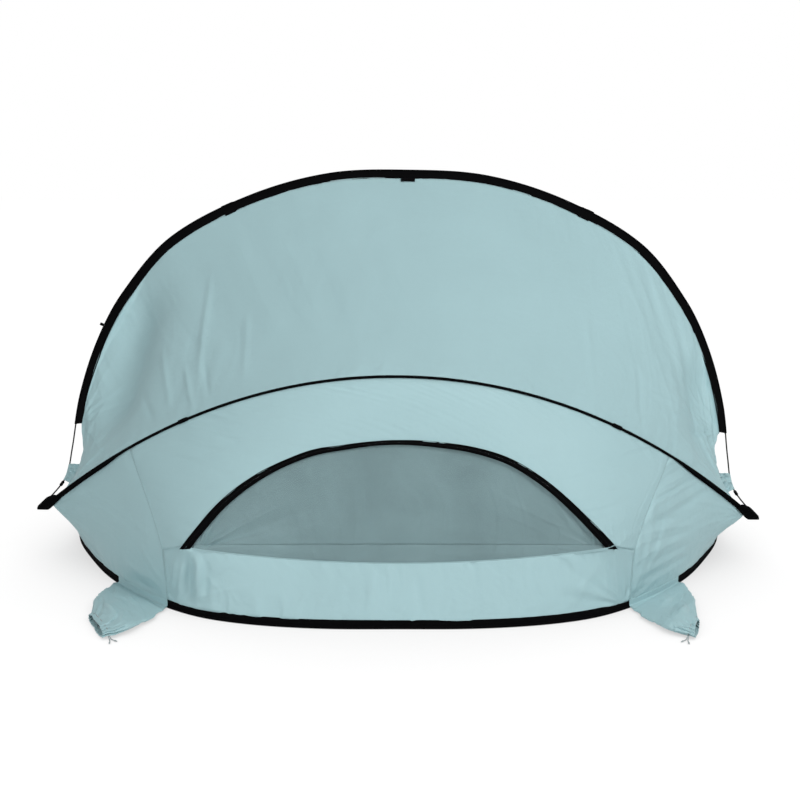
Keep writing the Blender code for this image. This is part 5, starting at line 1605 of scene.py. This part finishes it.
def build_ties():
    """Narrow tapes behind the skirt that tie the rolled flap."""
    for side in (-1, 1):
        x = side * LOOP_X
        start = on_window([(x, seam_height(x) - SEAM_TUCK)], CLOTH / 2 + 2 * FIT + TAB_THICKNESS / 2)[0]
        steps = 30
        share = np.linspace(0.0, 1.0, steps + 1)[:, None]
        sway = 0.0016 * noise(share * 4.0, 0.0, 131.0 + side)
        line = start + share * np.array([0.0, 0.0, -LOOP_DROP]) + np.abs(sway) * np.array([0.0, 1.0, 0.0])
        left, right = line - [LOOP_WIDTH / 2, 0, 0], line + [LOOP_WIDTH / 2, 0, 0]
        panel = Panel(np.stack([np.linspace(a, b, 9) for a, b in zip(left, right)]), (0.0, -1.0, 0.0))
        # The tapes take the seam's darkened cloth: painted shade
        tie = sheet_object(side_name("tie", side), panel, "aqua_seam_painted_shade", thickness=TAB_THICKNESS)
        bend_rear(tie, "aqua_cloth", side_name("tie_tape", side))


def build_slider():
    """The zip's slider with its rounded body, and the pull that lies along the tape."""
    angle = SLIDER_ANGLE
    along = leaning([(math.cos(angle), -math.sin(angle))], WINDOW_LEAN, 0.0, 0.0)[0]
    outward = leaning([(math.sin(angle), math.cos(angle))], WINDOW_LEAN, 0.0, 0.0)[0]
    inward = plane_normal(WINDOW_LEAN)
    depth = ZIP_THICKNESS / 2 + FIT + SLIDER_SIZE[2] / 2
    centre = on_window(window_ring(np.array([angle]), 0.0), depth)[0]
    axes = (along, outward, inward)
    body = plate("slider_body", centre, axes, SLIDER_SIZE, 0.35, 0.5)
    ride(body, "slider", "black_plastic", "zip_slider")
    lift = inward * (SLIDER_SIZE[2] / 2 + FIT + PULL_SIZE[2] / 2)
    place = centre + lift - along * (PULL_SIZE[0] - SLIDER_SIZE[0]) / 2
    pull = plate("slider_pull", place, axes, PULL_SIZE, 0.3, 0.0)
    ride(pull, "slider", "black_plastic", "zip_pull")
    for piece in (body, pull):
        flatten(piece)


def plate(name, centre, axes, sizes, taper, waist):
    """A small moulded part: a rounded oblong with softened faces, drawn in at its waist or tapered."""
    x, y = oblong(circle(40), 0.45)
    y = y * (1.0 - waist * 0.3 * (1.0 - x * x)) * (1.0 - taper * 0.5 * (x + 1.0) / 2.0)
    rings = []
    for share, level in ((0.82, -0.5), (0.96, -0.38), (1.0, 0.0), (0.96, 0.38), (0.82, 0.5)):
        flat = np.stack([x * sizes[0] / 2, y * sizes[1] / 2], axis=1) * share
        rings.append(centre + flat[:, :1] * axes[0] + flat[:, 1:] * axes[1] + level * sizes[2] * axes[2])
    return loft(name, rings, "black_plastic", sharp=40.0)


def pocket_sections(steps, around, side):
    """Rings of points round the +X sand pocket, from its wide end by the hoop to its open mouth."""
    outer = even_points(smooth_curve(POCKET_OUTER_SIDE[side]), steps)
    inner = even_points(smooth_curve(POCKET_INNER_SIDE), steps)
    share = np.linspace(0.0, 1.0, steps + 1)
    heights = np.interp(share, np.linspace(0, 1, len(POCKET_HEIGHTS)), POCKET_HEIGHTS)
    angles = circle(around)
    span, rise = oblong(angles, POCKET_FULLNESS)
    rings = np.zeros((steps + 1, around, 3))
    rings[..., :2] = ((outer + inner) / 2)[:, None] + span[None, :, None] * ((outer - inner) / 2)[:, None]
    rings[..., 2] = POCKET_LIFT + heights[:, None] / 2 * (1.0 + rise[None])
    ends = rings.mean(axis=1)
    back = unit((ends[0] - ends[-1]) * [1.0, 1.0, 0.0])
    opened = eased((share - 0.62) / 0.38)[:, None] * (1.0 + rise[None]) / 2.0
    rings = rings + (POCKET_LIP * opened)[..., None] * back
    knot = rings[:, around // 2][:, None]
    drawn = 1.0 - (1.0 - MOUTH_SCALE) * eased((share - 0.55) / 0.45)
    return knot + (rings - knot) * drawn[:, None, None], angles


def build_pockets(ring, pocket_rear, pocket_front):
    steps, around = 80, 120
    for side in (-1, 1):
        rings, angles = pocket_sections(steps, around, side)
        share = np.linspace(0.0, 1.0, steps + 1)[:, None]
        middle = rings.mean(axis=1, keepdims=True)
        wobble = noise(angles[None] * 0.9, share * 2.0, 141.0 + side)
        pleats = np.sin(15.0 * angles[None] + 2.6 * wobble) + 0.5 * np.sin(26.0 * angles[None] - 2.0 * wobble)
        gather = eased((share - 0.6) / 0.35)
        waist = np.exp(-(((share - POCKET_HEM) / 0.035) ** 2))
        scale = 1.0 - 0.08 * waist + gather * 0.075 * pleats
        rings = middle + (rings - middle) * scale[..., None]
        slanted = share * 5.0 + 1.3 * np.cos(angles)[None]
        long_folds = noise(2.2 * np.cos(angles)[None] + share * 1.4, slanted, 144.0 + side)
        cross = noise(3.0 * np.cos(angles)[None] - share * 3.0, share * 9.0, 147.0 + side)
        normal = unit(rings - middle)
        push = LONG_FOLDS[0] * long_folds + CROSS_FOLDS[0] * cross
        push = push + LONG_FOLDS[1] * ridged(long_folds) + CROSS_FOLDS[1] * ridged(cross)
        rings = rings + normal * (eased(share / 0.1) * (1.0 - 0.5 * gather) * push)[..., None]
        rings[..., 2] = np.maximum(rings[..., 2], 0.0006 + 0.0004 * (1.0 + np.sin(angles))[None])
        rings = mirrored(rings, side)
        length = lengths_along(middle[:, 0])
        round_it = angles * 0.03
        uvs = np.stack(np.meshgrid(round_it, length), axis=-1).reshape(-1, 2)
        faces = tube_faces(steps + 1, around, 0)
        bag = new_mesh(side_name("sand_bag", side), rings.reshape(-1, 3), faces, uvs)
        outside_out(bag)
        bag.data.materials.append(MATERIALS["aqua_cloth"])
        thicken(bag, BAG_THICKNESS, -1.0)
        body_name = side_name("pocket", side)
        ride(bag, body_name, "aqua_cloth", side_name("sand_pocket", side))
        build_throat(ring, rings[0], pocket_rear, pocket_front, side)
        build_cord(side, body_name)


def build_throat(ring, wide_end, pocket_rear, pocket_front, side):
    """The strip of cloth between the hoop's sleeve and the pocket."""
    line = mirrored(ring[pocket_rear : pocket_front + 1], side)
    outward = np.cross(tangents_of(line), [0.0, 0.0, 1.0])
    outward = outward * np.sign((outward * line * [1.0, 1.0, 0.0]).sum(axis=1, keepdims=True))
    near = line + unit(outward) * (TAPE_RADIUS - THROAT_TUCK)
    near[:, 2] = THROAT_HEIGHT
    inner, outer = wide_end[len(wide_end) // 2], wide_end[0]
    far = np.linspace(inner, outer, len(near))
    far[:, 2] = THROAT_HEIGHT
    far = far - unit(far - near) * THROAT_GAP
    panel = Panel(ruled(near, far, STRIP_ROWS), (0.0, 0.0, 1.0))
    throat = sheet_object(side_name("pocket_lip", side), panel, "aqua_cloth", sewn=THROAT_SEWN)
    ride(throat, "ground", "aqua_cloth", side_name("pocket_throat", side))


def build_cord(side, body_name):
    """The drawcord inside the pocket's hem, with its two knotted tails at the hem's inner end."""
    steps, around = 80, 40
    rings, _ = pocket_sections(steps, around, side)
    hem = rings[int(round(POCKET_HEM * steps))]
    hem = hem.mean(axis=0) + (hem - hem.mean(axis=0)) * CORD_INSET
    start = around // 2
    order = [(start + i) % around for i in range(around + 1)][2:-2]
    lead = unit((hem[start] - hem.mean(axis=0)) * [1.0, 1.0, 0.0])
    across = np.array([-lead[1], lead[0], 0.0])
    exit_at = hem[start] + lead * CORD_EXIT
    tails = []
    for length, way in ((CORD_TAIL, 1.0), (CORD_SHORT_TAIL, -1.0)):
        spread = across * way * CORD_SPREAD
        low = np.array([exit_at[0], exit_at[1], CORD_RADIUS * 2.0])
        reach = lead * length
        tails.append([low + spread * 0.4, low + reach * 0.5 + spread, low + reach + spread * 2.2])
    path = np.vstack([tails[0][::-1], hem[order], tails[1]])
    path = smooth_curve(path, steps=6)
    path[:, 2] = np.maximum(path[:, 2], CORD_RADIUS + CORD_FLOOR_GAP)
    along = lengths_along(path)
    from_end = np.minimum(along, along[-1] - along)
    knots = 1.0 + KNOT_SWELL * np.exp(-(((from_end - KNOT_AT) / KNOT_LENGTH) ** 2))
    cord = tube(side_name("cord", side), mirrored(path, side), CORD_RADIUS * 0.95 * knots, "grey_cord")
    ride(cord, body_name, "grey_cord", side_name("drawcord", side))


def build_seams(left, right, skirt_edge, seam_foot):
    """Felled seams: up both sides, under the window, and beside the window's lower corners."""
    corner = WINDOW_STEPS * FINE_RING
    for side, upper in ((-1, left), (1, right)):
        path = even_points(np.vstack([mirrored(seam_foot, side)[None], upper]), 160)
        sew_seam(side_name("side_seam", side), path, [side * 0.45, -1.0, 0.15])
        stub = mirrored(skirt_edge[corner:], side)
        sew_seam(side_name("corner_seam", side), stub, [side * 0.2, -1.0, 0.1], 0.003, 0.0004)
    sew_seam("window_seam", both_sides(skirt_edge[: corner + 1]), [0.0, -1.0, 0.17])


def add_light(name, place, target, size, power):
    data = bpy.data.lights.new(name, "AREA")
    data.shape = "RECTANGLE"
    data.size = data.size_y = size
    data.energy = power
    lamp = bpy.data.objects.new(name, data)
    lamp.location = place
    lamp.rotation_euler = (Vector(target) - Vector(place)).to_track_quat("-Z", "Y").to_euler()
    bpy.context.scene.collection.objects.link(lamp)


def build_camera():
    data = bpy.data.cameras.new("camera")
    data.lens = CAMERA_LENS
    data.sensor_width = CAMERA_SENSOR
    data.shift_x = CAMERA_SHIFT
    camera = bpy.data.objects.new("camera", data)
    camera.location = CAMERA_PLACE
    camera.rotation_euler = (CAMERA_PITCH, 0.0, 0.0)
    bpy.context.scene.collection.objects.link(camera)
    bpy.context.scene.camera = camera


def grey(value):
    return (value, value, value, 1.0)


def floor_material():
    """White floor: seen directly, a glow that ambient occlusion darkens into a painted contact shadow near
    the object, over a faint lit part that keeps the real cast shadow; plain for the light.
    """
    material = bpy.data.materials.new("studio_white")
    material.use_nodes = True
    tree = material.node_tree
    tree.nodes.clear()
    # Ambient occlusion darkens the glow near the object: a painted contact shadow
    painted_shadow = add_node(tree, "ShaderNodeAmbientOcclusion", Distance=PAINTED_SHADOW_REACH).outputs["AO"]
    factors = (painted_shadow, FLOOR_PAINTED_SHADOW_DEPTH, FLOOR_GLOW - FLOOR_PAINTED_SHADOW_DEPTH)
    strength = joined(tree, "ShaderNodeMath", *factors, operation="MULTIPLY_ADD")
    glow = add_node(tree, "ShaderNodeEmission", Strength=strength).outputs[0]
    lit = joined(tree, "ShaderNodeBsdfDiffuse", grey(FLOOR_SHADOW))
    plain = joined(tree, "ShaderNodeBsdfDiffuse", grey(FLOOR_BOUNCE))
    shown = joined(tree, "ShaderNodeAddShader", lit, glow)
    chosen = joined(tree, "ShaderNodeMixShader", white_ray(tree), plain, shown)
    add_node(tree, "ShaderNodeOutputMaterial", Surface=chosen)
    return material


def build_studio():
    """Soft light with its key on the camera's right, over a white floor with a painted contact shadow and a
    faint real cast shadow.
    """
    for lamp in LAMPS:
        add_light(*lamp)
    corners = [(x * FLOOR_REACH, y * FLOOR_REACH, 0.0) for x, y in ((-1, -1), (1, -1), (1, 1), (-1, 1))]
    floor = new_mesh("studio_floor", corners, [(0, 1, 2, 3)])
    floor.location.z = -FLOOR_DROP
    floor.data.materials.append(floor_material())
    world = bpy.data.worlds.new("studio")
    world.use_nodes = True
    bpy.context.scene.world = world
    tree = world.node_tree
    back = tree.nodes["Background"]
    back.inputs["Color"].default_value = grey(1.0)
    mix = add_node(tree, "ShaderNodeMix")
    for number, value in ((0, white_ray(tree)), (2, WORLD_LIGHT), (3, 1.0)):
        feed(tree, mix.inputs[number], value)
    feed(tree, back.inputs["Strength"], mix.outputs[0])


def white_ray(tree):
    """1 for rays that should see plain white: the camera's, mirrored and transmitted ones."""
    path = tree.nodes.new("ShaderNodeLightPath")
    seen = path.outputs["Is Camera Ray"]
    for kind in ("Is Glossy Ray", "Is Transmission Ray"):
        seen = joined(tree, "ShaderNodeMath", seen, path.outputs[kind], operation="MAXIMUM")
    return seen


def main():
    build_camera()
    make_materials()
    front, rear = hoop_paths()
    skirt_edge = skirt_top()
    ring, pocket_rear, pocket_front, tape_end = ring_path()
    fins = ring_fins(ring, rear, skirt_edge, pocket_rear)
    tails = front_tails(front, rear, HOOP_SHARED + 1)
    build_ground(ring, pocket_rear, pocket_front, tape_end, fins)
    build_skirt(ring, fins, skirt_edge, pocket_rear)
    build_side_panels(ring, fins, rear, pocket_rear)
    left, right = build_wall(rear)
    build_window()
    build_ties()
    build_slider()
    build_pockets(ring, pocket_rear, pocket_front)
    seam_foot = ring[pocket_rear] + fins[pocket_rear] * (RING_TAPE_WIDTH - TUCK)
    build_seams(left, right, skirt_edge, seam_foot)
    build_rear_hoop(rear)
    build_tips()
    build_roof(front, tails, rear)
    build_front_hoop(front, tails)
    build_studio()
    bpy.context.scene.view_settings.view_transform = "Standard"


main()
